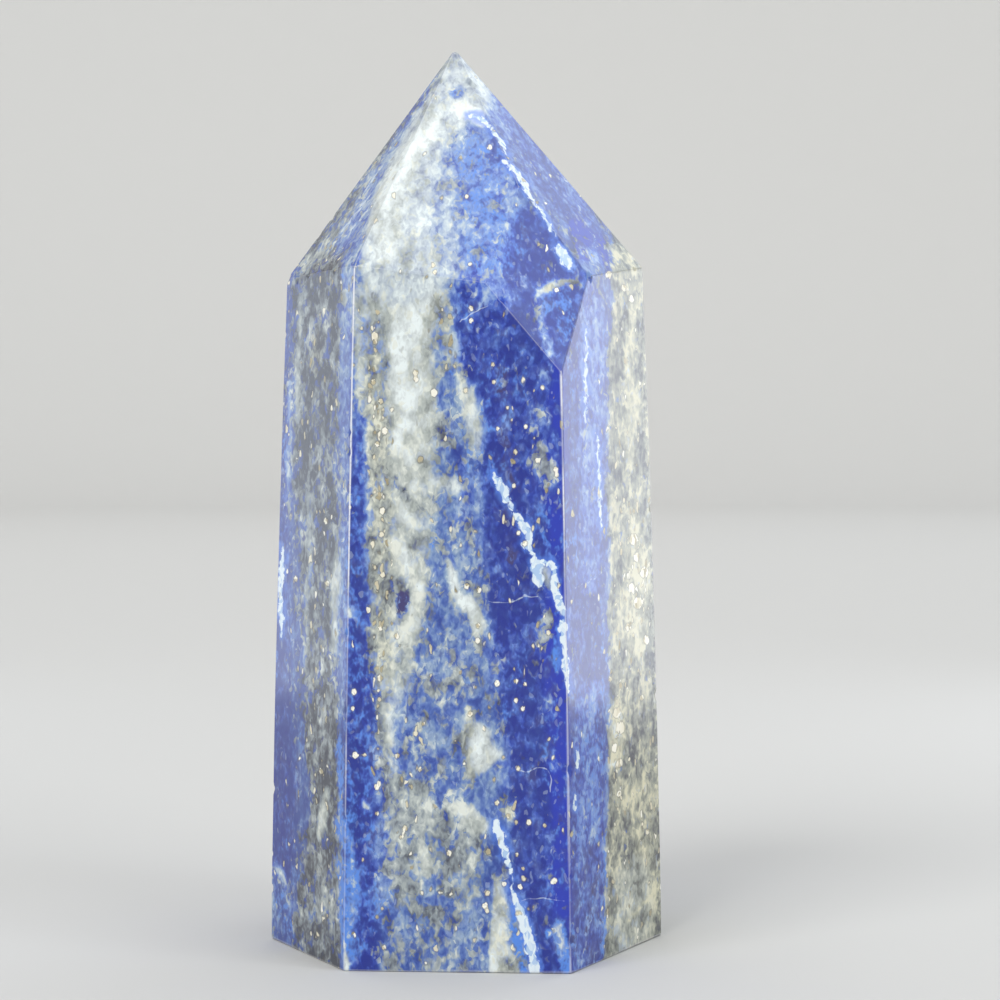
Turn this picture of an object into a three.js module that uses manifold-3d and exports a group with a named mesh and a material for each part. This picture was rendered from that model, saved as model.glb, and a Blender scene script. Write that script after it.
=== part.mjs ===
/**
 * Lapis lazuli tower: one stone, sawn and polished to a six-sided shaft that narrows a little towards its
 * shoulders and ends in a six-sided pyramid. A kite-shaped facet takes off the corner of the crown above the
 * front right long edge. The stone stands on its flat sawn foot.
 *
 * Millimetres, +Z up, +X to the right, the front face towards -Y. The origin is on the ground, at the centre
 * of the stone's footprint.
 */
import * as THREE from 'three';
import { ConvexGeometry } from 'three/addons/geometries/ConvexGeometry.js';
import { mergeVertices } from 'three/addons/utils/BufferGeometryUtils.js';
import Module from 'manifold-3d';

// ---- Driving dimensions ----

// The point where the six crown facets would meet, and how much of it is worn away.
const APEX = new THREE.Vector3(-1.2, 0, 89.45);
const TIP_WEAR = 0.25;

// Width of the worn flat along every polished edge, and of the bevel round the foot.
const ARRIS_WIDTH = 0.3;
const FOOT_BEVEL = 0.2;

// The six long edges, anticlockwise seen from above. Each runs from its foot on the ground to its rule point
// at RULE_HEIGHT, and bows outwards by `bow` half-way up.
const RULE_HEIGHT = 68;
const LONG_EDGES = [
  { name: 'left', foot: [-19.75, -0.8], rule: [-17.85, -0.4], bow: 0.32 },
  { name: 'front left', foot: [-11.5, -16.7], rule: [-10.4, -14.75], bow: 0.12 },
  { name: 'front right', foot: [10.0, -18.05], rule: [8.8, -16.0], bow: 0.25 },
  { name: 'right', foot: [19.75, 0.8], rule: [17.55, 1.05], bow: 0.26 },
  { name: 'back right', foot: [10.9, 18.05], rule: [9.7, 16.45], bow: 0.2 },
  { name: 'back left', foot: [-10.8, 17.3], rule: [-9.75, 15.85], bow: 0.15 },
];

// The shaft face between each long edge and the next one, with the heights at which the crown facet above it
// starts on those two edges.
const FACES = [
  { name: 'left', crownStart: [66.6, 67.0] },
  { name: 'front', crownStart: [67.0, 64.3] },
  { name: 'right', crownStart: [65.5, 67.8] },
  { name: 'back right', crownStart: [67.8, 67.2] },
  { name: 'back', crownStart: [67.2, 65.9] },
  { name: 'back left', crownStart: [65.9, 66.6] },
];

// The kite facet passes through the shoulder of the front face, the front right long edge and the shoulder
// of the right face at these points.
const KITE_ON_FRONT = new THREE.Vector3(2.0, -15.65, 65.25);
const KITE_ON_EDGE = new THREE.Vector3(9.0, -16.35, 56.9);
const KITE_ON_RIGHT = new THREE.Vector3(11.7, -10.45, 66.2);

// Heights at which the shaft's section is taken. The last lies above the crown, which is then cut out of it.
const SECTION_HEIGHTS = [FOOT_BEVEL, 10, 20, 30, 40, 50, 60, RULE_HEIGHT, 92];

// Side of the block that takes away what lies beyond a facet, larger than the whole stone.
const CUTTER_SIDE = 300;

// ---- Shaft ----

const wasm = await Module();
wasm.setup();

/** A point on a long edge at the given height. */
function edgePoint(edge, height) {
  const up = height / RULE_HEIGHT;
  const foot = new THREE.Vector2(...edge.foot);
  const point = foot.clone().lerp(new THREE.Vector2(...edge.rule), up);
  const outwards = foot.clone().normalize();
  point.addScaledVector(outwards, edge.bow * Math.max(0, 4 * up * (1 - up)));
  return new THREE.Vector3(point.x, point.y, height);
}

/** The shaft's section at a height, each corner cut back to a worn flat, drawn in by `inset` all round. */
function section(height, inset = 0) {
  const corners = LONG_EDGES.map((edge) => edgePoint(edge, height));
  return corners.flatMap((corner, i) => {
    const before = corners.at(i - 1).clone().sub(corner).normalize();
    const after = corners[(i + 1) % corners.length].clone().sub(corner).normalize();
    const inwards = before.clone().add(after).normalize();
    const halfAngle = before.angleTo(after) / 2;
    const moved = corner.clone().addScaledVector(inwards, inset / Math.sin(halfAngle));
    const cutBack = ARRIS_WIDTH / 2 / Math.sin(halfAngle);
    return [before, after].map((side) => moved.clone().addScaledVector(side, cutBack));
  });
}

/** A closed three.js geometry as a manifold-3d solid. */
function solidOf(geometry) {
  const bare = geometry.clone();
  bare.deleteAttribute('normal');
  bare.deleteAttribute('uv');
  const merged = mergeVertices(bare, 1e-4);
  return new wasm.Manifold(
    new wasm.Mesh({
      numProp: 3,
      vertProperties: merged.attributes.position.array,
      triVerts: new Uint32Array(merged.index.array),
    }),
  );
}

/** A manifold-3d solid as a flat-shaded three.js geometry. */
function geometryOf(solid) {
  const { numProp, vertProperties, triVerts } = solid.getMesh();
  const indexed = new THREE.BufferGeometry();
  const positions = new THREE.InterleavedBuffer(vertProperties, numProp);
  indexed.setAttribute('position', new THREE.InterleavedBufferAttribute(positions, 3, 0));
  indexed.setIndex(new THREE.BufferAttribute(triVerts, 1));
  const flat = indexed.toNonIndexed();
  flat.computeVertexNormals();
  return flat;
}

function makeShaft() {
  const foot = section(0, FOOT_BEVEL);
  const rings = SECTION_HEIGHTS.map((height) => section(height));
  return solidOf(new ConvexGeometry([foot, ...rings].flat()));
}

// ---- Facets ----

/** The plane through three points, turned so that the stone's axis lies behind it. */
function planeThrough(a, b, c) {
  const plane = new THREE.Plane().setFromCoplanarPoints(a, b, c);
  return plane.distanceToPoint(new THREE.Vector3(0, 0, RULE_HEIGHT / 2)) > 0 ? plane.negate() : plane;
}

/** Takes away all that lies beyond a plane. */
function cutBeyond(solid, plane) {
  const block = new THREE.BoxGeometry(CUTTER_SIDE, CUTTER_SIDE, CUTTER_SIDE);
  block.translate(0, 0, CUTTER_SIDE / 2);
  block.applyQuaternion(new THREE.Quaternion().setFromUnitVectors(new THREE.Vector3(0, 0, 1), plane.normal));
  block.translate(...plane.coplanarPoint(new THREE.Vector3()).toArray());
  return solid.subtract(solidOf(block));
}

/** The worn flat where two planes meet: a plane between them, just behind their common line. */
function arrisBetween(first, second) {
  const sum = first.normal.clone().add(second.normal);
  const turn = first.normal.angleTo(second.normal);
  const depth = (ARRIS_WIDTH / 2) * Math.tan(turn / 2);
  const constant = (first.constant + second.constant) / sum.length() + depth;
  return new THREE.Plane(sum.clone().normalize(), constant);
}

/** The planes of the shaft face and of the crown facet above it, for each of the six sides. */
function sidePlanes() {
  return FACES.map(({ crownStart }, i) => {
    const here = LONG_EDGES[i];
    const next = LONG_EDGES[(i + 1) % LONG_EDGES.length];
    const [low, high] = [0, RULE_HEIGHT].map((height) => edgePoint(here, height));
    const starts = [edgePoint(here, crownStart[0]), edgePoint(next, crownStart[1])];
    return {
      shaft: planeThrough(low, high, edgePoint(next, RULE_HEIGHT / 2)),
      crown: planeThrough(APEX, ...starts),
    };
  });
}

function cutCrown(shaft) {
  const sides = sidePlanes();
  const kite = planeThrough(KITE_ON_FRONT, KITE_ON_EDGE, KITE_ON_RIGHT);
  const [front, right] = [1, 2].map((i) => sides[i]);
  const facets = [...sides.map(({ crown }) => crown), kite];
  const arrises = sides.flatMap(({ shaft: face, crown }, i) => [
    arrisBetween(face, crown),
    arrisBetween(crown, sides[(i + 1) % sides.length].crown),
  ]);
  const kiteArrises = [front, right].flatMap(({ shaft: face, crown }) => [
    arrisBetween(kite, face),
    arrisBetween(kite, crown),
  ]);
  const wornTip = new THREE.Plane(new THREE.Vector3(0, 0, 1), TIP_WEAR - APEX.z);
  return [...facets, ...arrises, ...kiteArrises, wornTip].reduce(cutBeyond, shaft);
}

// ---- The stone ----

const polishedLapis = new THREE.MeshStandardMaterial({ color: 0x5f6b9c, roughness: 0.16, metalness: 0 });

const tower = new THREE.Mesh(geometryOf(cutCrown(makeShaft())), polishedLapis);
tower.name = 'lapis_tower';

const stone = new THREE.Group();
stone.add(tower);

export default stone;
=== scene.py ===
"""A polished six-sided tower of lapis lazuli on a pale studio floor.

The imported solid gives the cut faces. A fine mesh is laid over them with worn arrises and small
nicks, the minerals are mapped through the stone as bands, streaks, veins and crystals, and node
groups turn that map into the speckled surface. Lengths are millimetres until a mesh or a light is
made, and metres from there on.
"""

import itertools
import logging
import math
from dataclasses import dataclass, field, replace
from enum import Enum
from typing import Any

import bpy
import numpy as np
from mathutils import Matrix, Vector
from mathutils.geometry import delaunay_2d_cdt

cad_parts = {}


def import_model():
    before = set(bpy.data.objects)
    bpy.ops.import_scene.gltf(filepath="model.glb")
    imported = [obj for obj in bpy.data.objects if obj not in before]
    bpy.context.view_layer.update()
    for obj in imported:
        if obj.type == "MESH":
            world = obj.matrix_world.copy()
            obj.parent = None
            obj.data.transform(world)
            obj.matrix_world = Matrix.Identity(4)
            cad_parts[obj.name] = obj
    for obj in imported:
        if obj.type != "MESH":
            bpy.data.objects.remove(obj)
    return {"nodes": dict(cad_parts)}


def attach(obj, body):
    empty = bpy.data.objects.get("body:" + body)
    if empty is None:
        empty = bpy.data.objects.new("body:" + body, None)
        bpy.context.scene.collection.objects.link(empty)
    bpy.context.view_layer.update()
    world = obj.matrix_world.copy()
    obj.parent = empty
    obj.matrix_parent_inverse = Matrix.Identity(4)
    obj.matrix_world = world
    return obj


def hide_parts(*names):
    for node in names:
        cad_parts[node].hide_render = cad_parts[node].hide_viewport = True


frame: dict[str, Any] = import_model()

MM = 0.001  # one millimetre in metres
NODE = "lapis_tower"
BODY = "root"
PIECE = "polished_lapis_stone"

log = logging.getLogger(NODE)

Array = np.ndarray
Limits = tuple[float, float]
Triple = tuple[float, float, float]
Path = tuple[Triple, ...]  # x, z and half width at each point of a line, in mm


class Side(Enum):
    """The half of the stone that a listed mineral shows on."""

    FRONT = "front"
    BACK = "back"


Mark = tuple[float, float, Side]  # x and z of a place in mm, and its side


class Mineral(Enum):
    """What the stone holds. The value names the mesh attribute that carries its share, 0 to 1."""

    CALCITE = "calcite"  # white and pale grains
    MATRIX = "matrix"  # grey diopside and mica
    PYRITE = "pyrite"  # how thick the small gold grains lie
    ROYAL = "royal"  # how deep and pure the blue is
    SKY = "sky"  # pale azure blue
    VIOLET = "violet"  # violet-brown shade in the blue
    OCHRE = "ochre"  # warm straw tint in the grey


class Kind(Enum):
    """The cut faces of the tower."""

    SIDE = "side"
    CROWN = "crown"
    FOOT = "foot"
    TIP = "tip"


def smooth(low: float, high: float, value: Array) -> Array:
    """A soft step from 0 at low to 1 at high."""
    t = np.clip((value - low) / (high - low), 0.0, 1.0)
    return t * t * (3.0 - 2.0 * t)


@dataclass
class Drift:
    """Seeded smooth noise through the stone, about 0.5 on average."""

    seed: int
    cell: Triple  # size of one swell along X, Y and Z, in mm
    count: int = 24  # values along each side of the lattice, which then repeats
    shift: float = 100.0  # the stone's place in the lattice, in cells

    def __post_init__(self) -> None:
        """Draws the lattice of values."""
        self.values = np.random.default_rng(self.seed).random((self.count,) * 3)

    def at(self, points: Array) -> Array:
        """Noise at points.

        Args:
            points: n by 3, in mm.

        Returns:
            n values from 0 to 1.
        """
        place = points / np.array(self.cell) + self.shift
        low = np.floor(place).astype(int)
        t = smooth(0.0, 1.0, place - low)
        total = np.zeros(len(points))
        for corner in itertools.product((0, 1), repeat=3):
            weight = np.prod(np.where(corner, t, 1.0 - t), axis=1)
            i, j, k = ((low + corner) % self.count).T
            total += weight * self.values[i, j, k]
        return total


# ------------------------------------------------------------------ the cut form

LEVEL = 0.9  # a face lies level where the Z of its normal is beyond this
UPRIGHT = 0.2  # and it stands upright where that is under this


@dataclass
class CutFace:
    """One flat face of the tower: points p with normal . p = offset."""

    normal: Array  # unit direction outwards
    offset: float
    kind: Kind
    corners: list[int] = field(default_factory=list)  # their numbers, counter-clockwise from outside

    def axes(self) -> tuple[Array, Array]:
        """Two unit directions in the face.

        Returns:
            The directions across and up, at right angles.
        """
        other = np.eye(3)[2] if abs(self.normal[2]) < LEVEL else np.eye(3)[0]
        across = np.cross(other, self.normal)
        across /= np.linalg.norm(across)
        return across, np.cross(self.normal, across)


@dataclass
class CutForm:
    """The sharp polyhedron of the tower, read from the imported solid."""

    same_face: float = 4.0  # widest angle inside one face, in degrees
    least_area: float = 25.0  # a smaller face is a bevel, in mm2
    weld: float = 0.15  # corners this near are one
    foot_reach: float = 1.0  # a side's plane is laid through its points this near its foot
    top_reach: float = 6.0  # and this near its top
    flattest: float = 0.01  # normals that span less than this meet in no corner
    faces: list[CutFace] = field(default_factory=list)
    corners: Array = field(default_factory=lambda: np.zeros((0, 3)))  # where the faces meet
    low: Array = field(default_factory=lambda: np.zeros(3))  # lowest corner of the solid's box
    high: Array = field(default_factory=lambda: np.zeros(3))  # and its highest

    def read(self, node: bpy.types.Object) -> None:
        """Finds the faces and the corners of a node.

        Args:
            node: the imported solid.
        """
        mesh = node.data
        points = np.array([v.co for v in mesh.vertices]) / MM
        self.low, self.high = points.min(axis=0), points.max(axis=0)
        groups: list[list[bpy.types.MeshPolygon]] = []
        near = math.cos(math.radians(self.same_face))
        for polygon in sorted(mesh.polygons, key=lambda p: -p.area):
            home = next((g for g in groups if g[0].normal.dot(polygon.normal) > near), None)
            if home is None:
                groups.append([polygon])
            else:
                home.append(polygon)
        for group in groups:
            if sum(p.area for p in group) / MM**2 > self.least_area:
                self.faces.append(self.face_of(group, points))
        self.faces.append(CutFace(np.eye(3)[2], float(self.high[2]), Kind.TIP))
        self.find_corners()

    def face_of(self, group: list[bpy.types.MeshPolygon], points: Array) -> CutFace:
        """The flat face through the ends of a group of polygons.

        Args:
            group: polygons that lie in one face.
            points: the node's vertices in mm.

        Returns:
            The face.
        """
        mean = np.sum([np.array(p.normal) * p.area for p in group], axis=0)
        mean /= np.linalg.norm(mean)
        if mean[2] < -LEVEL:
            return CutFace(-np.eye(3)[2], 0.0, Kind.FOOT)
        used = points[sorted({i for p in group for i in p.vertices})]
        kind = Kind.SIDE if abs(mean[2]) < UPRIGHT else Kind.CROWN
        if kind is Kind.SIDE:
            heights = used[:, 2]
            near_foot = heights < heights.min() + self.foot_reach
            used = used[near_foot | (heights > heights.max() - self.top_reach)]
        centre = used.mean(axis=0)
        normal = np.linalg.svd(used - centre)[2][2]
        normal *= np.sign(normal @ mean)
        return CutFace(normal, float(normal @ centre), kind)

    def find_corners(self) -> None:
        """Meets the faces three by three and orders each face's corners around it."""
        normals = np.array([f.normal for f in self.faces])
        offsets = np.array([f.offset for f in self.faces])
        found: list[Array] = []
        for trio in itertools.combinations(range(len(self.faces)), 3):
            three = normals[list(trio)]
            if abs(np.linalg.det(three)) < self.flattest:
                continue
            point = np.linalg.solve(three, offsets[list(trio)])
            if (normals @ point - offsets).max() > self.weld / 2:
                continue
            if all(np.linalg.norm(point - other) > self.weld for other in found):
                found.append(point)
        self.corners = np.array(found)
        for face in self.faces:
            on = np.abs(self.corners @ face.normal - face.offset) < self.weld
            members = np.flatnonzero(on)
            across, up = face.axes()
            spread = self.corners[members] - self.corners[members].mean(axis=0)
            angle = np.arctan2(spread @ up, spread @ across)
            face.corners = [int(i) for i in members[np.argsort(angle)]]


INSIDE_ONLY = 1  # asks the triangulation for the triangles inside the outline alone


@dataclass
class StoneMesh:
    """A fine mesh over the cut form: flat faces, worn arrises and small nicks."""

    form: CutForm
    marks: list[Mark]  # places that get a point of their own
    step: float = 0.47  # spacing of points inside a face, in mm
    edge_step: float = 0.33  # and along an arris
    rows: tuple[float, ...] = (0.06, 0.13, 0.22, 0.36)  # distances of the rows of points beside an arris
    row_room: float = 0.1  # room at their corners
    lattice_room: float = 0.6  # room between them and the points inside, in steps
    stagger: float = 0.16  # random shift of the points inside, in steps
    mark_room: float = 0.2  # room round a mark
    mark_edge: float = 0.06  # room between a mark and the last row
    edge_on: float = 0.1  # least Y in the normal of a face with marks
    slack: float = 1e-6  # rounding allowed in a distance
    snap: float = 1e-7  # points this near are one
    wear: float = 0.26  # mean radius of a worn arris
    wear_range: Limits = (0.7, 0.6)  # least share of it, and what is added at most
    wear_cell: Triple = (5.0, 5.0, 7.0)  # its swells
    arris_turn: Limits = (3.0, 18.0)  # degrees of turn at which an arris begins and is full
    crown_foot_pale: float = 0.3  # paleness of the arrises of crown and foot: wear whitening with a painted highlight
    highlight_height: Limits = (22.0, 36.0)  # heights over which the painted highlight on the upright ones comes in fully
    low_highlight: float = 0.5  # their paleness below that, where the painted highlight is faint
    pale_breaks: Limits = (0.3, 0.62)  # noise between which the paleness is faint and full
    faint_pale: float = 0.45  # its share where it is faint
    pale_cell: Triple = (7.0, 7.0, 5.0)  # swells of that noise
    bulge: float = 0.2  # how far the sides swell half-way up
    bulge_height: float = 68.0  # where the swell ends
    wave: float = 0.018  # depth of the hand-lapped unevenness
    wave_cell: Triple = (9.0, 9.0, 12.0)  # its swells
    calm_foot: Limits = (0.3, 3.0)  # heights over which nicks and waves set in
    nicks: int = 64  # number of nicks along the arrises
    nick_size: Limits = (0.22, 0.6)  # their least and largest radius
    nick_slope: float = 0.36  # their depth beside the radius
    nick_floor: float = 0.3  # their flat middle beside it
    seed: int = 11
    points: Array = field(default_factory=lambda: np.zeros((0, 3)))  # before wear
    triangles: list[tuple[int, ...]] = field(default_factory=list)  # numbers of their points
    homes: list[int] = field(default_factory=list)  # number of each triangle's face

    def lay(self) -> None:
        """Fills every face with points and triangles that share their borders."""
        points: list[Array] = list(self.form.corners)
        borders: dict[tuple[int, int], list[int]] = {}
        rng = np.random.default_rng(self.seed)
        for number, face in enumerate(self.form.faces):
            ring: list[int] = []
            for a, b in zip(face.corners, face.corners[1:] + face.corners[:1]):
                ring.extend(self.border(points, borders, a, b)[:-1])
            origin = self.form.corners[face.corners].mean(axis=0)
            flat = np.stack(face.axes(), axis=1)
            outline = (self.form.corners[face.corners] - origin) @ flat
            inner = self.with_marks(self.inner_points(outline, rng), face, origin, flat, outline)
            border = (np.array([points[i] for i in ring]) - origin) @ flat
            places = [Vector(p) for p in np.vstack([border, inner])]
            loop = [(i, (i + 1) % len(ring)) for i in range(len(ring))]
            _, _, filled, sources, _, _ = delaunay_2d_cdt(places, loop, [], INSIDE_ONLY, self.snap)
            known = ring + list(range(len(points), len(points) + len(inner)))
            points.extend(origin + flat @ p for p in inner)
            self.triangles += [tuple(known[sources[i][0]] for i in corners) for corners in filled]
            self.homes += [number] * len(filled)
        self.points = np.array(points)

    def border(
        self, points: list[Array], borders: dict[tuple[int, int], list[int]], a: int, b: int
    ) -> list[int]:
        """Points along one arris, made once and shared by its two faces.

        Args:
            points: all points so far; new ones are added.
            borders: arrises made so far.
            a: first corner.
            b: last corner.

        Returns:
            Point numbers from a to b.
        """
        key = (min(a, b), max(a, b))
        if key not in borders:
            start, end = points[key[0]], points[key[1]]
            count = max(1, round(float(np.linalg.norm(end - start)) / self.edge_step))
            between = [start + (end - start) * i / count for i in range(1, count)]
            first = len(points)
            points.extend(between)
            borders[key] = [key[0], *range(first, first + len(between)), key[1]]
        made = borders[key]
        return made if made[0] == a else made[::-1]

    def inner_points(self, outline: Array, rng: np.random.Generator) -> Array:
        """Rows beside the arrises, and a staggered lattice between them.

        Args:
            outline: the face's corners in its own plane, counter-clockwise.
            rng: source of the lattice's small shifts.

        Returns:
            n by 2 points in the plane.
        """
        inside: list[Array] = []
        for distance in self.rows:
            ring = self.inset(outline, distance)
            if not len(ring):
                break
            inside.extend(ring)
            for a, b, inwards in self.sides(outline):
                count = max(1, round(float(np.linalg.norm(b - a)) / self.edge_step))
                row = a + np.outer(np.arange(1, count) / count, b - a) + inwards * distance
                gaps = np.linalg.norm(row[:, None] - ring[None], axis=2).min(axis=1)
                deep = self.depth(outline, row) > distance - self.slack
                inside.extend(row[(gaps > self.row_room) & deep])
        low, high = outline.min(axis=0), outline.max(axis=0)
        rise = self.step * math.sqrt(3.0) / 2.0
        columns = np.arange(low[0], high[0] + self.step, self.step)
        levels = np.arange(low[1], high[1] + rise, rise)
        grid = np.array([(x + self.step / 2 * (k % 2), y) for k, y in enumerate(levels) for x in columns])
        grid = grid + rng.uniform(-self.stagger, self.stagger, grid.shape) * self.step
        grid = grid[self.depth(outline, grid) > self.rows[-1] + self.step * self.lattice_room]
        return np.vstack([np.array(inside).reshape(-1, 2), grid])

    def with_marks(
        self, inner: Array, face: CutFace, origin: Array, flat: Array, outline: Array
    ) -> Array:
        """Puts the marks of a face among its points.

        Args:
            inner: the face's points in its own plane.
            face: the face.
            origin: where the plane's coordinates start.
            flat: the plane's two directions.
            outline: the face's corners in its plane.

        Returns:
            The points with the marks, less those that lay too close to a mark.
        """
        if face.kind in (Kind.FOOT, Kind.TIP) or abs(face.normal[1]) < self.edge_on:
            return inner
        side = Side.FRONT if face.normal[1] < 0.0 else Side.BACK
        here = np.array([(x, z) for x, z, seen in self.marks if seen is side]).reshape(-1, 2)
        y = (face.offset - here @ face.normal[[0, 2]]) / face.normal[1]
        spots = (np.stack([here[:, 0], y, here[:, 1]], axis=1) - origin) @ flat
        spots = spots[self.depth(outline, spots) > self.rows[-1] + self.mark_edge]
        kept: list[Array] = []
        for spot in spots:
            if all(abs(spot - other).max() > self.mark_room / 2 for other in kept):
                kept.append(spot)
        if not kept:
            return inner
        chosen = np.array(kept)
        gaps = np.linalg.norm(inner[:, None] - chosen[None], axis=2).min(axis=1)
        return np.vstack([inner[gaps > self.mark_room], chosen])

    def sides(self, outline: Array) -> list[tuple[Array, Array, Array]]:
        """The sides of a convex outline.

        Args:
            outline: corners, counter-clockwise.

        Returns:
            Each side's start, its end and the unit direction inwards.
        """
        found: list[tuple[Array, Array, Array]] = []
        for a, b in zip(outline, np.roll(outline, -1, axis=0)):
            along_side = (b - a) / np.linalg.norm(b - a)
            found.append((a, b, np.array([-along_side[1], along_side[0]])))
        return found

    def depth(self, outline: Array, places: Array) -> Array:
        """How far places lie inside a convex outline.

        Args:
            outline: corners, counter-clockwise.
            places: n by 2.

        Returns:
            n distances to the nearest side, below 0 outside.
        """
        nearest = np.full(len(places), np.inf)
        for a, _, inwards in self.sides(outline):
            nearest = np.minimum(nearest, (places - a) @ inwards)
        return nearest

    def inset(self, outline: Array, distance: float) -> Array:
        """A convex outline moved inwards.

        Args:
            outline: corners, counter-clockwise.
            distance: how far.

        Returns:
            The corners of the smaller outline, or none where nothing is left.
        """
        ring = list(outline)
        for a, _, inwards in self.sides(outline):
            kept: list[Array] = []
            for p, q in zip(ring, ring[1:] + ring[:1]):
                dp, dq = (p - a) @ inwards - distance, (q - a) @ inwards - distance
                if dp >= 0:
                    kept.append(p)
                if (dp >= 0) != (dq >= 0):
                    kept.append(p + (q - p) * dp / (dp - dq))
            ring = kept
            if not ring:
                break
        return np.array(ring).reshape(-1, 2)

    def wear_down(self) -> tuple[Array, Array]:
        """Rounds the arrises, nicks them, and gives the faces their slight swell.

        Returns:
            The worn points in mm, and how much each lies on an arris, 0 to 1.
        """
        sharp = self.points
        least, more = self.wear_range
        radius = self.wear * (least + more * Drift(self.seed + 1, self.wear_cell).at(sharp))
        inner = self.pressed_in(sharp, radius)
        out = sharp - inner
        out /= np.linalg.norm(out, axis=1)[:, None]
        worn = inner + out * radius[:, None]
        flank = smooth(*self.calm_foot, sharp[:, 2])
        worn = worn - out * (self.nick_depth(sharp) * flank)[:, None]
        ripple = Drift(self.seed + 2, self.wave_cell).at(sharp) - 0.5
        worn = worn + out * (ripple * 2.0 * self.wave * flank)[:, None]
        # The sides swell by 4h(1 - h), which is 1 half-way up.
        height = np.clip(sharp[:, 2] / self.bulge_height, 0.0, 1.0)
        reach = np.linalg.norm(worn[:, :2], axis=1).clip(1.0)
        worn[:, :2] *= (1.0 + self.bulge * 4.0 * height * (1.0 - height) / reach)[:, None]
        return np.clip(worn, self.form.low, self.form.high), self.arris_share(sharp, out)

    def arris_share(self, sharp: Array, out: Array) -> Array:
        """How much each point lies on a pale arris, worn and with a painted highlight; the upright ones are
        palest, less so towards the foot.

        Args:
            sharp: points before wear.
            out: direction of the worn surface at each.

        Returns:
            Shares from 0 to 1.
        """
        normals = np.array([f.normal for f in self.form.faces])
        offsets = np.array([f.offset for f in self.form.faces])
        turned = np.degrees(np.arccos(np.clip((out @ normals.T).max(axis=1), -1.0, 1.0)))
        nearest = np.argsort(offsets - sharp @ normals.T, axis=1)[:, :2]
        upright = np.array([f.kind is Kind.SIDE for f in self.form.faces])[nearest].all(axis=1)
        full = smooth(*self.pale_breaks, Drift(self.seed + 60, self.pale_cell).at(sharp))
        # Painted highlight: the upright arrises grow paler with height and are faint near the foot.
        high = smooth(*self.highlight_height, sharp[:, 2])
        paleness = self.faint_pale + (1.0 - self.faint_pale) * full
        paleness = paleness * (self.low_highlight + (1.0 - self.low_highlight) * high)
        return smooth(*self.arris_turn, turned) * np.where(upright, paleness, self.crown_foot_pale)

    def pressed_in(self, sharp: Array, radius: Array, rounds: int = 36) -> Array:
        """The nearest point of the form shrunk by radius, for each sharp point.

        Args:
            sharp: points on the sharp form.
            radius: how far the form shrinks at each of them.
            rounds: passes over the faces.

        Returns:
            The nearest points.
        """
        place = sharp.copy()
        owed = np.zeros((len(self.form.faces), len(sharp), 3))
        for _ in range(rounds):
            for k, face in enumerate(self.form.faces):
                asked = place + owed[k]
                over = np.maximum(asked @ face.normal - face.offset + radius, 0.0)
                place = asked - over[:, None] * face.normal
                owed[k] = asked - place
        return place

    def nick_depth(self, sharp: Array) -> Array:
        """Depth of the small nicks along the arrises.

        Args:
            sharp: points before wear.

        Returns:
            Depth at each, in mm.
        """
        rng = np.random.default_rng(self.seed + 3)
        corners = self.form.corners
        lines = [pair for f in self.form.faces for pair in zip(f.corners[-1:] + f.corners, f.corners)]
        lengths = np.array([np.linalg.norm(corners[a] - corners[b]) for a, b in lines])
        depth = np.zeros(len(sharp))
        for _ in range(self.nicks):
            a, b = lines[rng.choice(len(lines), p=lengths / lengths.sum())]
            centre = corners[a] + (corners[b] - corners[a]) * rng.random()
            size = rng.uniform(*self.nick_size)
            slope = smooth(size, size * self.nick_floor, np.linalg.norm(sharp - centre, axis=1))
            depth = np.maximum(depth, size * self.nick_slope * slope)
        return depth


# ------------------------------------------------------------------ the minerals in the stone


@dataclass(frozen=True)
class Streak:
    """A listed stretch of one or more minerals."""

    path: Path  # its middle line, as seen square on from its side
    levels: dict[Mineral, float]  # each mineral's share inside it
    soft: float  # width over which its border fades, in mm
    side: Side = Side.FRONT  # the half of the stone that it shows on


def lay(path: Path, soft: float = 1.0, **levels: float) -> Streak:
    """A streak on the front.

    Args:
        path: its middle line.
        soft: width over which its border fades, in mm.
        levels: each mineral's share inside it, under the mineral's name.

    Returns:
        The streak.
    """
    return Streak(path, {Mineral(name): share for name, share in levels.items()}, soft)


@dataclass(frozen=True)
class Vein:
    """A thin filled crack."""

    path: Path  # its middle line
    side: Side = Side.FRONT  # the half of the stone that it shows on

    def uneven(
        self, rng: np.random.Generator, sway: float, pace: float = 0.34, pinch: Limits = (0.7, 1.25)
    ) -> "Vein":
        """The same vein with a shaky course and width.

        Args:
            rng: source of the shakes.
            sway: how far it leaves its path, in mm.
            pace: spacing of its points, in mm.
            pinch: least and most of its width that is left.

        Returns:
            The shaken vein.
        """
        points: list[Triple] = []
        for (ax, az, ah), (bx, bz, bh) in zip(self.path, self.path[1:]):
            length = math.hypot(bx - ax, bz - az)
            count = max(1, round(length / pace))
            for i in range(count):
                t = i / count
                off = float(rng.normal(0.0, sway))
                half = (ah + (bh - ah) * t) * float(rng.uniform(*pinch))
                x = ax + (bx - ax) * t + off * (bz - az) / length
                points.append((x, az + (bz - az) * t - off * (bx - ax) / length, half))
        points.append(self.path[-1])
        return Vein(tuple(points), self.side)

    def marks(self, beside: float = 0.15) -> list[Mark]:
        """Places for mesh points: along the middle, and a little outside both borders.

        Args:
            beside: how far outside, in mm.

        Returns:
            The places.
        """
        spots = [(x, z, self.side) for x, z, _ in self.path]
        for (ax, az, half), (bx, bz, _) in zip(self.path, self.path[1:]):
            length = math.hypot(bx - ax, bz - az)
            out = half + beside
            dx, dz = (bz - az) / length * out, (bx - ax) / length * out
            spots += [(ax + dx, az - dz, self.side), (ax - dx, az + dz, self.side)]
        return spots


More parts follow.
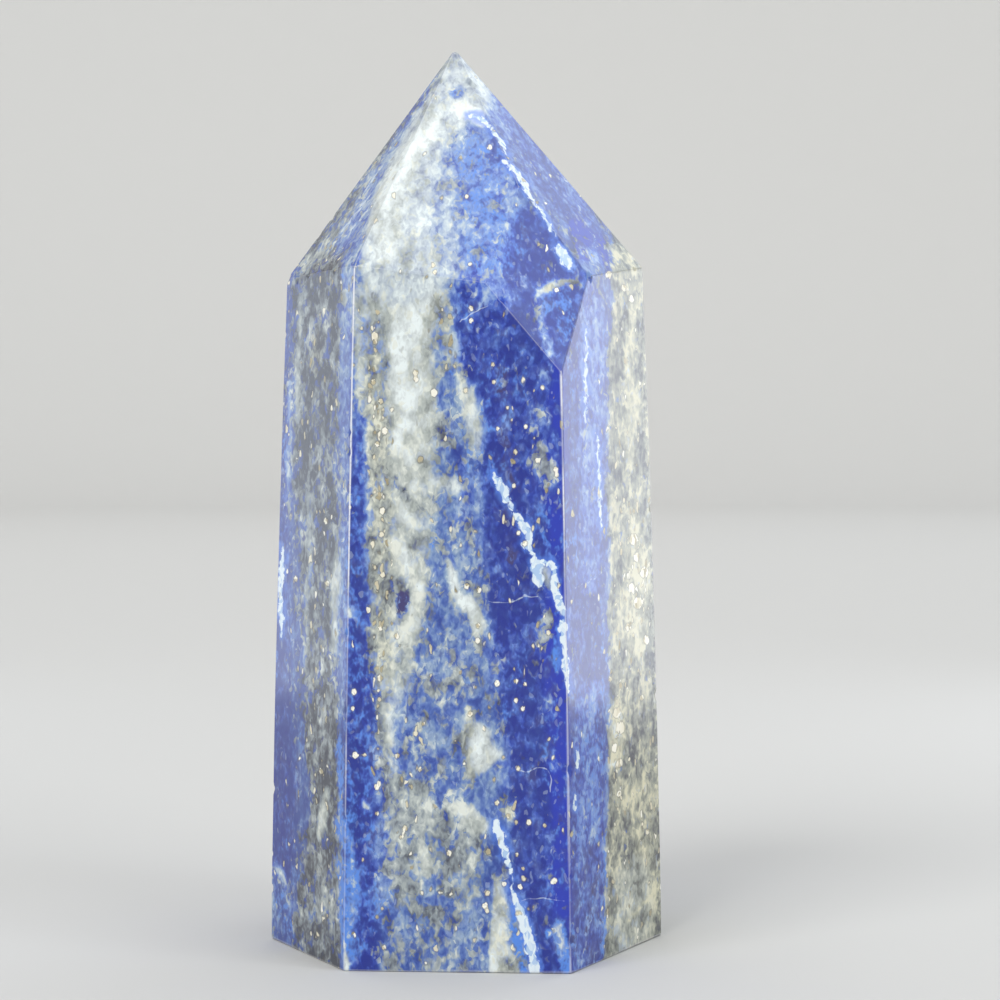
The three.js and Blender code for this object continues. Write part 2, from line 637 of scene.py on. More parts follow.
def along(path: Path, x: Array, z: Array) -> tuple[Array, Array]:
    """Distance to a line, and its half width at the nearest place.

    Args:
        path: the line's points with half widths.
        x: places across.
        z: places up.

    Returns:
        Distance and half width.
    """
    if len(path) == 1:
        px, pz, half = path[0]
        return np.hypot(x - px, z - pz), np.full(len(x), half)
    best = np.full(len(x), np.inf)
    width = np.zeros(len(x))
    for (ax, az, ah), (bx, bz, bh) in zip(path, path[1:]):
        dx, dz = bx - ax, bz - az
        t = np.clip(((x - ax) * dx + (z - az) * dz) / (dx * dx + dz * dz), 0.0, 1.0)
        gap = np.hypot(x - ax - t * dx, z - az - t * dz)
        half = ah + (bh - ah) * t
        better = half - gap > width - best
        best = np.where(better, gap, best)
        width = np.where(better, half, width)
    return best, width


Rows = tuple[Streak, ...]
Paths = tuple[Path, ...]


def filled(right: float, *left: tuple[float, float]) -> Path:
    """The path of a band with a straight right border and heights with its left border."""
    return tuple(((edge + right) / 2, z, (right - edge) / 2) for z, edge in left)


# What is listed, as it is seen square on: x and z with half widths, in mm.

# The mottled middle of the front face.
MIDDLE: Rows = (
    lay(((-1.9, 58, 1), (-1.6, 54, 2.4), (-1.4, 47, 2.6), (-1.2, 40, 2.9), (-1, 34, 3.2), (-0.6, 26, 4.2),
        (-0.8, 18, 5.2)), 1.6, calcite=0.36),
    lay(((-2.6, 60, 1.6), (-1.8, 52, 2.2), (-1.4, 44, 2.6), (-1.2, 36, 2.8), (-1, 24, 4)), 2.0,
        matrix=0.34),
    lay(((-1.8, 56, 1.8), (-1.4, 44, 2.6), (-1, 32, 3.2), (-1.2, 16, 4.8), (-1.6, 2, 5)), 2.0, royal=0.22),
    lay(((-2.6, 54, 0.5), (-2.4, 51, 0.7), (-0.6, 49.4, 0.5), (0.2, 46.6, 0.7), (-0.2, 43, 0.8)),
        royal=0.6),
    lay(((-2.6, 54, 0.4), (-2.4, 51, 0.6), (-0.6, 49.4, 0.4)), 0.9, calcite=0.22),
    lay(((-6.4, 27.6, 1.4), (-7, 24, 1)), 1.4, calcite=0.62),
    lay(((-1.4, 38.8, 0.25), (-1, 37.4, 0.45), (-0.8, 35.8, 0.5), (-0.2, 34.8, 0.5)), 0.8, calcite=0.8,
        matrix=0.3),
    lay(((0.4, 35.2, 0.5), (0.9, 34.2, 0.9), (1.2, 33.2, 0.9), (1.2, 32.2, 0.5)), 0.8, calcite=0.86,
        matrix=0.35),
    lay(((0.2, 36.5, 0.35), (1.3, 36.2, 0.35)), 0.7, matrix=0.85),
    lay(((1.3, 31.8, 0.4), (1, 30.8, 0.3)), 0.7, matrix=0.85),
    lay(((-7.2, 23.8, 0.5), (-7, 21.5, 0.7)), 0.9, calcite=0.74),
    lay(((-7.6, 26, 0.6), (-7.6, 22, 0.7), (-7.2, 18.6, 0.7)), 1.2, matrix=0.6),
    lay(((-6.6, 32.2, 0.6), (-6.9, 30, 0.8)), 0.9, calcite=0.64),
    lay(((-3.4, 27.4, 0.5), (-3.4, 26, 0.5), (0.6, 28.6, 0.8), (0.6, 27, 0.6)), 0.9, matrix=0.7),
    lay(((0.3, 25.4, 0.3), (0.2, 23.6, 0.5), (0, 21.4, 0.5), (0.6, 18.8, 0.5)), 0.7, matrix=0.64,
        calcite=0.7, ochre=0.4),
    lay(((0.7, 23, 0.3), (1.1, 22, 0.7), (1.5, 20.8, 0.95), (1.4, 19.6, 0.6)), 0.9, calcite=0.8,
        matrix=0.42),
    lay(((1, 23.4, 0.2), (1.9, 22.5, 0.5), (1.9, 21.4, 0.7), (2.9, 20.4, 0.45), (1.8, 19.6, 0.5)), 0.9,
        calcite=0.77),
    lay(((-3.6, 24.4, 0.4), (-4.4, 23.4, 0.4)), 0.8, matrix=0.7, ochre=0.6),
    lay(((-7.6, 20.8, 0.2), (-6.8, 19.6, 0.35), (-5.8, 18.2, 0.35), (-5.4, 17, 0.3)), 0.7, calcite=0.82,
        matrix=0.3),
    lay(((-1.3, 57, 0.4),), 0.5, sky=0.9),
    lay(((-3, 41.6, 0.4), (-3.1, 40.4, 0.4)), 0.7, sky=0.6),
    lay(((-3.5, 35.2, 0.4), (-3.5, 33.8, 0.4)), 0.7, sky=0.6),
    lay(((3.4, 25.6, 0.6), (3.8, 24.4, 0.5)), 0.9, sky=0.5),
)

# The grey and white mass above the foot.
LOWER_MASS: Rows = (
    lay(((-3, 8, 4.2), (-2.8, 0, 4.8)), 1.6, calcite=0.38),
    lay(((-3.4, 8, 3.8), (-3, 0, 4.6)), 1.8, matrix=0.42),
    lay(((-6.2, 17.4, 1.6), (-4.4, 14.6, 3.2), (-2.7, 12.2, 4.8), (-2.8, 9.6, 4.8)), 1.6, calcite=0.5,
        matrix=0.74),
    lay(((-3.9, 11.8, 0.3), (-3.4, 10.2, 0.5)), 0.7, calcite=0.9),
    lay(((-0.6, 15.4, 0.5), (0.5, 14.9, 0.8), (1.4, 13.9, 0.8)), 0.9, calcite=0.78),
    lay(((3.1, 8.8, 0.5), (3.3, 5, 0.95), (3.3, 2.4, 1.05), (3.9, 0, 1.6)), 0.9, calcite=0.72, matrix=0.6,
        ochre=0.35),
    lay(((2.8, 5, 0.2), (2.9, 2.6, 0.4), (2.8, 0, 0.4)), 0.8, calcite=0.88),
    lay(((4.4, 1, 0.3),), 0.6, matrix=0.9, calcite=0.45),
    lay(((-1, 13.3, 0.3), (-1.3, 12.6, 0.3)), 0.8, matrix=0.1, calcite=0.3),
    lay(((-2.4, 16.6, 0.25), (-2.1, 15.4, 0.3), (-1.6, 14.8, 0.3)), 0.5, calcite=0.05, matrix=0.1),
    lay(((-5.3, 11.4, 0.6),), 0.7, violet=0.6, calcite=0.3),
    lay(((-2.6, 8.6, 0.5), (-4.4, 7, 0.4), (-1.4, 6.4, 0.4), (-2, 3.8, 0.5)), 0.9, matrix=0.2, calcite=0.3),
    lay(((3.6, 16.4, 0.5), (4.4, 15.2, 0.75), (4.8, 14.5, 0.4)), 0.9, matrix=0.8),
    lay(((3.6, 16.4, 0.8), (4.4, 15.2, 1), (4.8, 14.5, 0.7)), 0.7, ochre=0.5, pyrite=0.1),
    lay(((3.4, 16.2, 0.6), (4.3, 15.2, 0.9), (4.8, 14.5, 0.5)), 0.8, calcite=0.48),
    lay(((-6, 16.8, 1.5), (-4, 13.4, 3), (-1.6, 11.2, 3.8), (-2.4, 2, 4)), 1.4, pyrite=0.1),
    lay(((4.9, 9.7, 0.3),), 0.5, matrix=0.9, calcite=0.2),
    lay(((4.9, 9.7, 0.5),), 0.5, ochre=1.0),
)

# The white calcite band down the front, and what runs beside it.
UPPER_BAND: Rows = (
    lay(((-5.6, 70, 3.6), (-5.8, 60, 3.2), (-5.8, 50, 3.4), (-5.6, 44, 3.2), (-5.8, 38, 2.6),
        (-6.2, 32, 2.4), (-6.8, 28, 1.6)), 1.6, calcite=0.64, matrix=0.66),
    lay(((-5.4, 66, 3.6), (-5.8, 50, 3.2), (-5.8, 38, 2.6), (-6.4, 30, 2)), 2.0, ochre=0.14),
    lay(((-2.2, 67, 1), (-2.1, 62, 1.2), (-1.5, 58, 0.9)), 1.6, calcite=0.56, matrix=0.5, ochre=0.4,
        pyrite=0.12),
    lay(((-5.2, 70, 3), (-5.2, 63, 2.6), (-5.4, 59, 2), (-5.2, 55, 2.1), (-5.5, 51, 1.8), (-5.3, 47, 1.5)),
        1.3, calcite=0.8),
    lay(((-5.3, 66, 1.6), (-5.5, 52, 1.2)), 1.4, matrix=0.3),
    lay(((-5.3, 66, 1.1), (-5.2, 61.4, 0.9), (-5.9, 58.4, 0.6), (-5.4, 54.6, 0.9), (-6.2, 52.6, 0.7),
        (-6.4, 50.6, 0.5)), 1.1, calcite=0.94),
    lay(((-2.9, 63.6, 0.8),), 1.2, calcite=0.78),
    lay(((-4.2, 52.6, 0.5), (-4.4, 50.2, 0.7)), calcite=0.9),
    lay(((-4.4, 51.4, 0.3), (-4.6, 49.2, 0.5), (-4.3, 47.4, 0.8), (-4.8, 45, 0.8)), 1.2, matrix=0.7),
    lay(((-5.6, 46.4, 0.9), (-5.9, 44, 1), (-5.2, 42.6, 0.6)), 1.1, calcite=0.86),
    lay(((-6.5, 40.6, 0.5), (-6, 39.4, 0.8), (-5.8, 38.2, 0.5)), 0.8, calcite=0.93),
    lay(((-4.6, 38.4, 0.3), (-4.2, 37, 0.4), (-4.1, 35.4, 0.35)), 0.6, calcite=0.86),
    lay(((-4.6, 34.2, 0.5), (-4.9, 33, 0.75), (-5.4, 31.6, 0.6)), 0.8, calcite=0.93),
    lay(((-8.5, 60, 0.7), (-8.4, 54, 1.1), (-8.3, 48, 1.2), (-8, 44, 1.2), (-7.7, 38, 1.1), (-7.8, 32, 1.1),
        (-7.6, 28, 0.9)), matrix=0.82),
    lay(((-8.5, 64, 0.8), (-8.4, 54, 1.1), (-8.2, 48, 1.1), (-8, 44, 1.1), (-7.7, 38, 1), (-7.8, 30, 1)),
        calcite=0.58),
    lay(((-8.5, 65, 0.9), (-8.6, 62.4, 0.9)), 1.2, calcite=0.76, matrix=0.5),
    lay(((-8.6, 62, 0.4), (-8.4, 54, 0.65), (-8.2, 48, 0.7), (-8, 44, 0.7), (-7.7, 38, 0.7),
        (-7.9, 31, 0.6), (-8.2, 24, 0.3), (-8.2, 16, 0.2)), 0.8, pyrite=0.6),
    lay(((-8.6, 60, 0.8), (-8.2, 48, 1), (-7.7, 38, 1.1), (-7.8, 27, 0.8)), ochre=0.52),
    lay(((-0.2, 60, 0.6), (0.3, 56, 0.9), (0.6, 51, 0.7)), 1.2, matrix=0.6),
    lay(((-0.6, 60.5, 0.7), (0.1, 57, 0.8), (0.5, 53, 0.8), (1, 50.5, 0.6), (1.3, 49.2, 0.3)),
        calcite=0.68),
    lay(((-2.6, 46.4, 0.6), (-0.9, 46, 0.9)), calcite=0.7),
    lay(((-6.4, 46.4, 0.3), (-6, 45.6, 0.5), (-5.6, 45.2, 0.3)), 0.6, matrix=0.9, calcite=0.25),
    lay(((-6.9, 37.2, 0.5), (-6.9, 34.4, 0.6)), 0.7, matrix=0.9),
    lay(((-6.9, 37.2, 0.4), (-6.9, 34.4, 0.5)), 0.7, calcite=0.34),
    lay(((-6.1, 36.8, 0.25), (-5.6, 35.6, 0.5), (-5.8, 34.4, 0.45), (-6.2, 33.8, 0.2)), 0.6, violet=1.0,
        calcite=0.08),
    lay(((-5.6, 35.6, 0.4), (-5.8, 34.4, 0.35)), 0.6, matrix=0.12),
    lay(((-4.5, 49.3, 0.25),), 0.5, violet=0.9),
    lay(((-8.3, 42.2, 0.2), (-8.2, 41.2, 0.25)), 0.5, violet=0.9),
    lay(((-7.3, 57.2, 0.4),), 0.5, sky=1.0, calcite=0.2),
)

# The deep blue down the right of the front face, and the strip at its left.
DEEP_BLUE = filled(13.4, (62, -1), (60, -0.7), (58, 0.5), (56, 1.3), (52, 2), (48, 2), (44, 1.8), (40, 2.2),
    (36, 2.6), (32, 2.9), (28, 3.7), (24, 3.8), (18, 4.5), (10, 5), (4, 6.4), (0, 7))
STRIP = ((-10, 52, 0.4), (-10.1, 46, 0.5), (-10.3, 40, 0.6), (-10.2, 34, 1), (-10.1, 30, 1.2),
    (-10, 20, 1.3), (-9.8, 8, 1.6), (-9.7, 0, 1.7))
ROYAL_ZONE: Rows = (
    lay(DEEP_BLUE, 1.2, calcite=0.09, matrix=0.08),
    lay(DEEP_BLUE, 1.4, royal=0.82),
    lay(((8.8, 60, 0.5), (8.8, 44, 0.7), (8.8, 28, 0.9), (8.9, 14, 0.9), (9.4, 4, 0.6)), calcite=0.0),
    lay(((8.6, 60, 0.9), (8.6, 44, 1), (8.6, 28, 1.2), (8.9, 14, 1.1), (9.4, 4, 0.8)), 1.2, royal=0.95),
    lay(STRIP, calcite=0.11, matrix=0.03, royal=0.78, sky=0.3),
    lay(((-10.5, 34, 0.3), (-10.4, 22, 0.5), (-10.2, 10, 0.5)), royal=0.84),
    lay(((8.6, 34.4, 0.2), (8.6, 31, 0.3), (8.9, 28, 0.2)), 0.6, sky=0.8),
    lay(((3.4, 57, 0.7), (3.9, 46, 0.8), (4.6, 38, 0.6)), violet=0.55),
    lay(((3, 58, 0.9), (3.6, 52, 0.9), (4.4, 46.6, 0.4)), calcite=0.24),
    lay(((3, 58, 0.8), (3.6, 52, 0.9), (4.6, 46, 0.6)), pyrite=0.1),
    lay(((7.2, 57, 0.8), (5.8, 53.6, 0.6), (7.4, 48, 1.1)), pyrite=0.1),
    lay(((7.5, 38.2, 0.4), (7.7, 37.3, 0.6), (8, 36.5, 0.35)), 0.4, matrix=1.0, calcite=0.66),
    lay(((7.2, 57, 0.4), (7.2, 55.4, 0.5)), 0.8, calcite=0.36),
    lay(((5.9, 53.8, 0.5), (6.6, 53.2, 0.5), (7.4, 52.2, 0.5), (6, 51, 0.4)), 0.8, calcite=0.38,
        matrix=0.55),
    lay(((6, 48.2, 0.4), (7.2, 49.8, 0.4), (7.4, 48, 0.8), (8, 46.4, 0.7)), 0.8, matrix=0.7, calcite=0.42),
    lay(((7.6, 33.6, 0.5), (7.4, 31.6, 0.7)), 0.8, calcite=0.5, matrix=0.75, pyrite=0.2),
    lay(((7.8, 25.8, 0.35), (7.8, 24.6, 0.4)), 0.7, matrix=0.6, calcite=0.4),
    lay(((8.1, 21, 0.3), (8.2, 19.4, 0.4)), 0.7, calcite=0.55),
    lay(((8.2, 9.2, 0.4), (8.4, 8.4, 0.3)), 0.7, calcite=0.6),
    lay(((8.2, 9.2, 0.4),), 0.7, matrix=0.8),
    lay(((7.8, 3.8, 0.4), (8.6, 4.4, 0.5), (9.4, 3.6, 0.5), (9.6, 1.6, 0.5), (9.7, 0, 0.5)), 0.9, sky=0.85),
    lay(((8.1, 3.8, 0.35), (8.8, 4.3, 0.45), (9.3, 3.4, 0.45), (9.6, 1.8, 0.35), (9.6, 0.6, 0.2)), 0.9,
        calcite=0.84, royal=0.1),
    lay(((-10.9, 15, 0.2), (-11, 12, 0.5), (-10.8, 8, 0.7), (-10.9, 2, 0.8)), 1.2, sky=0.74, royal=0.2),
    lay(((-10.9, 12, 0.4), (-10.7, 7, 0.6), (-10.8, 1, 0.6)), calcite=0.4),
    lay(((-11.3, 2.6, 0.1), (-11.3, 0, 0.25)), 0.5, calcite=0.95),
    lay(((-10.9, 13.6, 0.1), (-10.8, 10.4, 0.25), (-11, 8.6, 0.1)), 0.6, calcite=0.72),
    lay(((-10.6, 7.4, 0.1), (-10.5, 5, 0.25), (-10.8, 3, 0.15)), 0.6, calcite=0.74),
    lay(((-9.7, 15.9, 0.3), (-9.4, 15.4, 0.45), (-8.9, 15.1, 0.2)), 0.6, calcite=0.74),
    lay(((-10.8, 34.6, 0.25), (-10.7, 33.8, 0.25)), 0.5, calcite=0.75),
    lay(((4.7, 6.6, 0.4), (5, 4.4, 0.6), (5.4, 2, 0.6), (5.7, 0, 0.5)), 0.8, sky=1.0, royal=0.1),
    lay(((-10, 64, 0.8), (-9.9, 58, 0.7), (-9.8, 54, 0.5)), 0.8, calcite=0.66, matrix=0.5),
    lay(((-9.8, 62, 0.4), (-9.8, 60, 0.4), (-9.6, 58.6, 0.4)), 0.8, sky=0.6),
)

# The crown's front and the small kite face.
CROWN: Rows = (
    lay(((0, 90, 3), (-0.8, 84, 3.3), (-4.8, 78, 2.7), (-5.9, 72, 3.9), (-6, 66.5, 4)), 1.6, calcite=0.68),
    lay(((-2, 79, 0.5), (-1.9, 74, 1.2), (-1.7, 69, 1.5), (-1.6, 66, 1)), 1.6, calcite=0.6, matrix=0.44,
        sky=0.06, ochre=0.0),
    lay(((-3.4, 79, 2.4), (-4.6, 73, 3.8), (-5.2, 67, 4.2)), 2.2, matrix=0.36),
    lay(((-6, 76.5, 0.9), (-7.4, 72, 1.4), (-7.6, 68, 1)), 1.4, calcite=0.77),
    lay(((-3.2, 82, 0.5), (-4.6, 79.6, 0.8), (-6.4, 76, 0.6), (-8, 73.5, 0.4)), calcite=0.9),
    lay(((0.4, 81.4, 0.6), (0.6, 79, 2.2), (1.4, 75, 2.7), (3.2, 71, 3.4), (4.2, 67, 4.2)), 1.8,
        calcite=0.46, ochre=0.0),
    lay(((0.4, 80.6, 1), (0.9, 77, 2.4), (1.6, 73, 2.6), (2.2, 68, 2.6)), 1.6, sky=0.5),
    lay(((0.2, 74, 1.6), (0.8, 67, 2.4)), 1.8, matrix=0.26),
    lay(((-0.8, 84.6, 0.6),), 0.8, calcite=0.3),
    lay(((-0.8, 84.6, 0.7),), 0.8, sky=0.6),
    lay(((-0.6, 83, 0.5), (0.8, 82.4, 0.7), (1.6, 81.4, 0.4)), 0.6, calcite=0.98),
    lay(((6.4, 70.5, 1.8), (7.2, 66, 3.4), (8.6, 61, 1.8), (9.4, 58, 0.8)), calcite=0.1),
    lay(((6.4, 70.5, 2.2), (7.2, 66, 3.4), (8.6, 61, 2), (9.4, 58, 1)), royal=0.86),
    lay(((6.4, 70.5, 2.2), (7.2, 66, 3.4), (8.6, 61, 2)), matrix=0.1),
    lay(((6.8, 64, 0.3), (8, 65, 0.45), (9.2, 65.6, 0.4), (10.9, 65.4, 0.4)), 0.8, ochre=0.9, matrix=0.6,
        calcite=0.8),
    lay(((7, 63, 0.3), (7.4, 60.6, 0.45), (8.1, 58.6, 0.35)), 0.9, calcite=0.52, matrix=0.5),
    lay(((9.2, 64.4, 0.8), (10, 62, 0.8), (9.6, 60, 0.5)), 1.2, sky=0.5),
    lay(((9.1, 68.8, 0.35), (10, 67.4, 0.4)), 0.6, calcite=0.95),
    lay(((3.6, 82, 1.2), (5.6, 79, 0.6)), 1.4, calcite=0.6),
    lay(((3.6, 83, 0.9), (6.4, 79, 1.6), (9.4, 74.6, 2), (12, 71, 1.4)), 1.4, calcite=0.22, matrix=0.1,
        royal=0.75),
    lay(((10.6, 71.2, 1), (12.3, 69.2, 1.8), (14, 67.6, 0.8)), calcite=0.02, royal=1.0),
    lay(((9.5, 70.6, 0.6),), 0.8, calcite=0.5),
    lay(((9.6, 70.6, 0.5),), 0.8, matrix=0.8),
)

# The faces left of the front one.
LEFT_FACES: Rows = (
    lay(((-15.4, 67, 3.6), (-15.6, 46, 3.4), (-15.8, 26, 3.4), (-15.8, 0, 3.4)), calcite=0.1),
    lay(((-14.6, 66, 2.8), (-14.4, 46, 2.4), (-13.8, 26, 1.7), (-14, 10, 2.1), (-14.6, 0, 2.6)), 1.2,
        matrix=0.8),
    lay(((-14.2, 67, 3.2), (-14.2, 0, 2.4)), 1.6, royal=0.25),
    lay(((-13.8, 67, 2), (-13.6, 0, 1.4)), 1.4, pyrite=0.12),
    lay(((-16, 72, 4), (-12, 77, 2.6), (-8, 82, 1.4), (-3.4, 87.4, 0.6)), 1.2, calcite=0.35),
    lay(((-16, 72, 4), (-12, 77, 2.6), (-8, 82, 1.4)), 1.4, matrix=0.64, royal=0.16),
    lay(((-16.4, 67, 0.5), (-14, 69.4, 0.8), (-11.6, 71, 0.5)), 1.6, calcite=0.54),
    lay(((-12.4, 70, 0.8), (-10.4, 74, 0.9), (-8.8, 77, 0.5)), 1.4, sky=0.3, calcite=0.46),
    lay(((-18.6, 60, 0.5), (-18.4, 34, 0.7), (-18.4, 23, 1.1), (-18.3, 14, 1.5), (-18.4, 7.5, 1.2)),
        calcite=0.0),
    lay(((-18.4, 34, 0.7), (-18.4, 23, 1.1), (-18.3, 14, 1.5), (-18.4, 7.5, 1.2)), matrix=0.0),
    lay(((-18.6, 60, 0.5), (-18.4, 34, 0.8), (-18.4, 23, 1.1), (-18.3, 14, 1.6), (-18.4, 7.5, 1.3)),
        royal=0.75),
    lay(((-16.2, 20, 0.6), (-16, 16, 1.1), (-16.2, 12, 0.7)), 0.8, calcite=0.12),
    lay(((-16.2, 20, 0.6), (-16, 16, 1), (-16.2, 12, 0.7)), 0.8, matrix=0.1),
    lay(((-13.6, 24, 1), (-13.4, 18, 1.1), (-13.8, 14, 0.8)), matrix=0.95),
    lay(((-13.6, 24, 1), (-13.4, 19, 1.1)), calcite=0.1),
    lay(((-13.5, 16.4, 0.2), (-13.6, 14.4, 0.35), (-14, 12, 0.3)), 0.6, calcite=0.9),
    lay(((-18.6, 4, 1), (-17, 2, 1.2)), 1.2, sky=0.45),
    lay(((-19.4, 7.4, 0.3), (-18.6, 6.8, 0.45), (-17.6, 6, 0.3), (-17, 4.2, 0.2)), calcite=0.74,
        matrix=0.36),
    lay(((-17.6, 5, 0.6), (-15.8, 3, 0.8), (-13.6, 7, 0.6), (-13, 3, 0.5)), 1.2, calcite=0.4),
    lay(((-11.8, 22, 0.25), (-11.8, 12, 0.4), (-11.8, 4, 0.4)), 0.6, sky=0.8),
    lay(((-12.1, 42, 0.3), (-12.2, 36, 0.5), (-12.1, 30, 0.3)), 0.7, calcite=0.7),
    lay(((-16.6, 64, 0.35), (-16.6, 52, 0.3)), 0.7, calcite=0.62),
    lay(((-17.6, 56, 0.25), (-17.4, 44, 0.3)), 0.7, calcite=0.56),
    lay(((-15.2, 45, 0.25), (-15.4, 34, 0.3), (-15.6, 28, 0.2)), 0.7, calcite=0.56),
    lay(((-14.5, 60, 0.4), (-14.5, 57, 0.4)), 0.7, ochre=0.8),
    lay(((-15.4, 50, 0.7), (-14, 47, 0.9), (-13.4, 45, 0.5)), calcite=0.0),
    lay(((-13.4, 66, 0.8), (-13.2, 64.5, 0.7)), 0.8, calcite=0.0),
    lay(((-11.9, 66, 0.3),), 0.5, sky=0.7),
)

# The faces right of the front one.
BLUE = ((11.6, 26, 1.2), (11.8, 14, 1.4), (11.8, 0, 1.4))
ROCK = ((17.4, 70, 3), (17.2, 60, 3.2), (17.2, 40, 3.4), (17.2, 24, 3.4), (17.4, 12, 3.6), (17, 0, 3.7))
RIGHT_FACES: Rows = (
    lay(((12, 68, 1.2), (12, 50, 1.2), (11.8, 36, 0.8)), 1.6, calcite=0.39, sky=0.16),
    lay(BLUE, 1.4, calcite=0.4, sky=0.4),
    lay(((11.8, 11, 0.8), (11.8, 0, 1.2)), 1.8, calcite=0.27, sky=0.14, violet=0.4),
    lay(ROCK, 0.8, calcite=0.52, matrix=1.0, ochre=1.0, royal=0.0),
    lay(ROCK, pyrite=0.12),
    lay(((14.4, 60, 0.3), (14.6, 50, 0.5), (14.8, 40, 0.5), (14.4, 30, 0.3)), calcite=0.5),
    lay(((16.4, 64, 0.5), (16, 58, 0.3), (16.8, 52, 0.4)), 0.8, calcite=0.95),
    lay(((15.2, 62, 0.4), (15, 57.5, 0.6), (15.3, 54, 0.4)), calcite=0.36),
    lay(((17.8, 57, 0.5), (17.6, 50, 0.6), (17.8, 45, 0.4)), calcite=0.38),
    lay(((16.2, 54.4, 0.4), (16, 50.6, 0.6), (16.4, 47.6, 0.4)), calcite=0.82),
    lay(((15.2, 46, 0.5), (15.4, 41, 0.6), (15, 37, 0.4)), calcite=0.4),
    lay(((16.8, 26.4, 0.6), (17, 23, 0.9), (16.6, 18.6, 0.6)), calcite=0.2),
    lay(((16.4, 44, 0.7), (17, 38, 1.6), (16.8, 32, 1.3), (15.6, 27, 0.5)), 1.4, pyrite=0.5),
    lay(((16.4, 43, 0.7), (17, 36, 1.4), (16.8, 30, 1)), 1.2, calcite=0.8),
    lay(((14.6, 25, 0.5), (14.8, 20, 0.8), (14.6, 17, 0.4)), 0.8, pyrite=0.5),
    lay(((14.6, 25, 0.6), (14.8, 20, 0.9), (14.6, 17, 0.5)), 0.8, ochre=1.0),
    lay(((14.6, 24.4, 0.5), (14.9, 21.4, 0.8), (14.5, 18.6, 0.5)), 0.7, calcite=0.98, matrix=0.7),
    lay(((16.6, 15, 1.6), (17.4, 8, 1.8), (17.2, 0, 2)), 1.6, calcite=0.6),
    lay(((15.6, 13.6, 0.5), (15.2, 9.4, 0.6), (15.6, 5.4, 0.4)), calcite=0.4),
    lay(((17.2, 11.6, 0.4), (17.6, 8.2, 0.6), (17, 3, 0.5)), calcite=0.8),
    lay(((16.4, 7, 1.8), (16.4, 0, 2.4)), 2.0, matrix=0.8, ochre=0.5, calcite=0.7),
    lay(((16, 2.6, 0.15), (17.4, 3.6, 0.24), (19.2, 5, 0.24)), 0.3, calcite=0.97, ochre=1.0),
    lay(((13.6, 12, 0.25), (13.8, 6, 0.3), (13.4, 2, 0.25)), 0.5, calcite=0.6),
    lay(((13.5, 12, 0.25), (13.7, 6, 0.3), (13.3, 1, 0.25)), 0.5, sky=0.8),
)

# The back, where the same layers run on with their own patches.
BACK: Rows = (
    lay(((6, 88, 5), (5, 60, 5.2), (6, 34, 5), (7, 12, 5.6), (7, 0, 5.6)), 2.0, calcite=0.1),
    lay(((6, 88, 5), (5, 60, 5.4), (6, 34, 5.2), (7, 12, 5.8), (7, 0, 5.8)), 2.0, royal=0.9),
    lay(((-1.4, 92, 2.6), (-3, 82, 2.2), (-4.6, 66, 3), (-5.4, 50, 2.4), (-5, 40, 3.2), (-6.2, 28, 2.2),
        (-6.6, 18, 1.6)), 1.8, calcite=0.66),
    lay(((-3, 80, 1.8), (-4.6, 60, 2.8), (-5.2, 44, 2.8), (-6.2, 28, 2.2)), 2.0, matrix=0.5),
    lay(((-1.6, 90, 1.6), (-3.2, 78, 1), (-4, 70, 1.6), (-5.2, 62, 0.8), (-4.6, 54, 1.4)), 1.4,
        calcite=0.9),
    lay(((-5.8, 44, 1), (-4.8, 38, 1.4), (-5.8, 33, 0.5)), 1.2, calcite=0.88),
    lay(((-9.5, 74, 1.4), (-9, 52, 1.6), (-9.6, 36, 1.2), (-8.6, 16, 2), (-9, 0, 2.6)), 1.6, matrix=0.7),
    lay(((-8.6, 70, 0.9), (-8.2, 52, 1), (-8.8, 36, 0.8), (-8, 20, 0.9)), 1.4, pyrite=0.7),
    lay(((-1, 60, 2.4), (-0.6, 44, 3), (-1.4, 30, 3.4), (-2, 12, 4.2), (-2, 0, 4.4)), 1.8, calcite=0.46),
    lay(((-1.4, 56, 2.2), (-1.6, 36, 2.8), (-2.4, 12, 4)), 2.0, matrix=0.45),
    lay(((3.6, 30, 0.7), (4.2, 27.5, 1.2), (3.8, 25.4, 0.6)), 0.9, calcite=0.9),
    lay(((-1.6, 14, 0.8), (-0.4, 12, 1.2)), calcite=0.8),
    lay(((9.4, 20, 0.5), (9.6, 8, 0.6)), 1.2, sky=0.6),
    lay(((17, 88, 3), (17.2, 40, 3.2), (17.2, 0, 3.6)), 1.2, matrix=0.85, calcite=0.66, ochre=0.6),
    lay(((-16.6, 60, 1.4), (-17.4, 40, 1.8), (-17, 20, 2.4), (-17.6, 4, 2)), 1.6, calcite=0.08, royal=0.8),
)

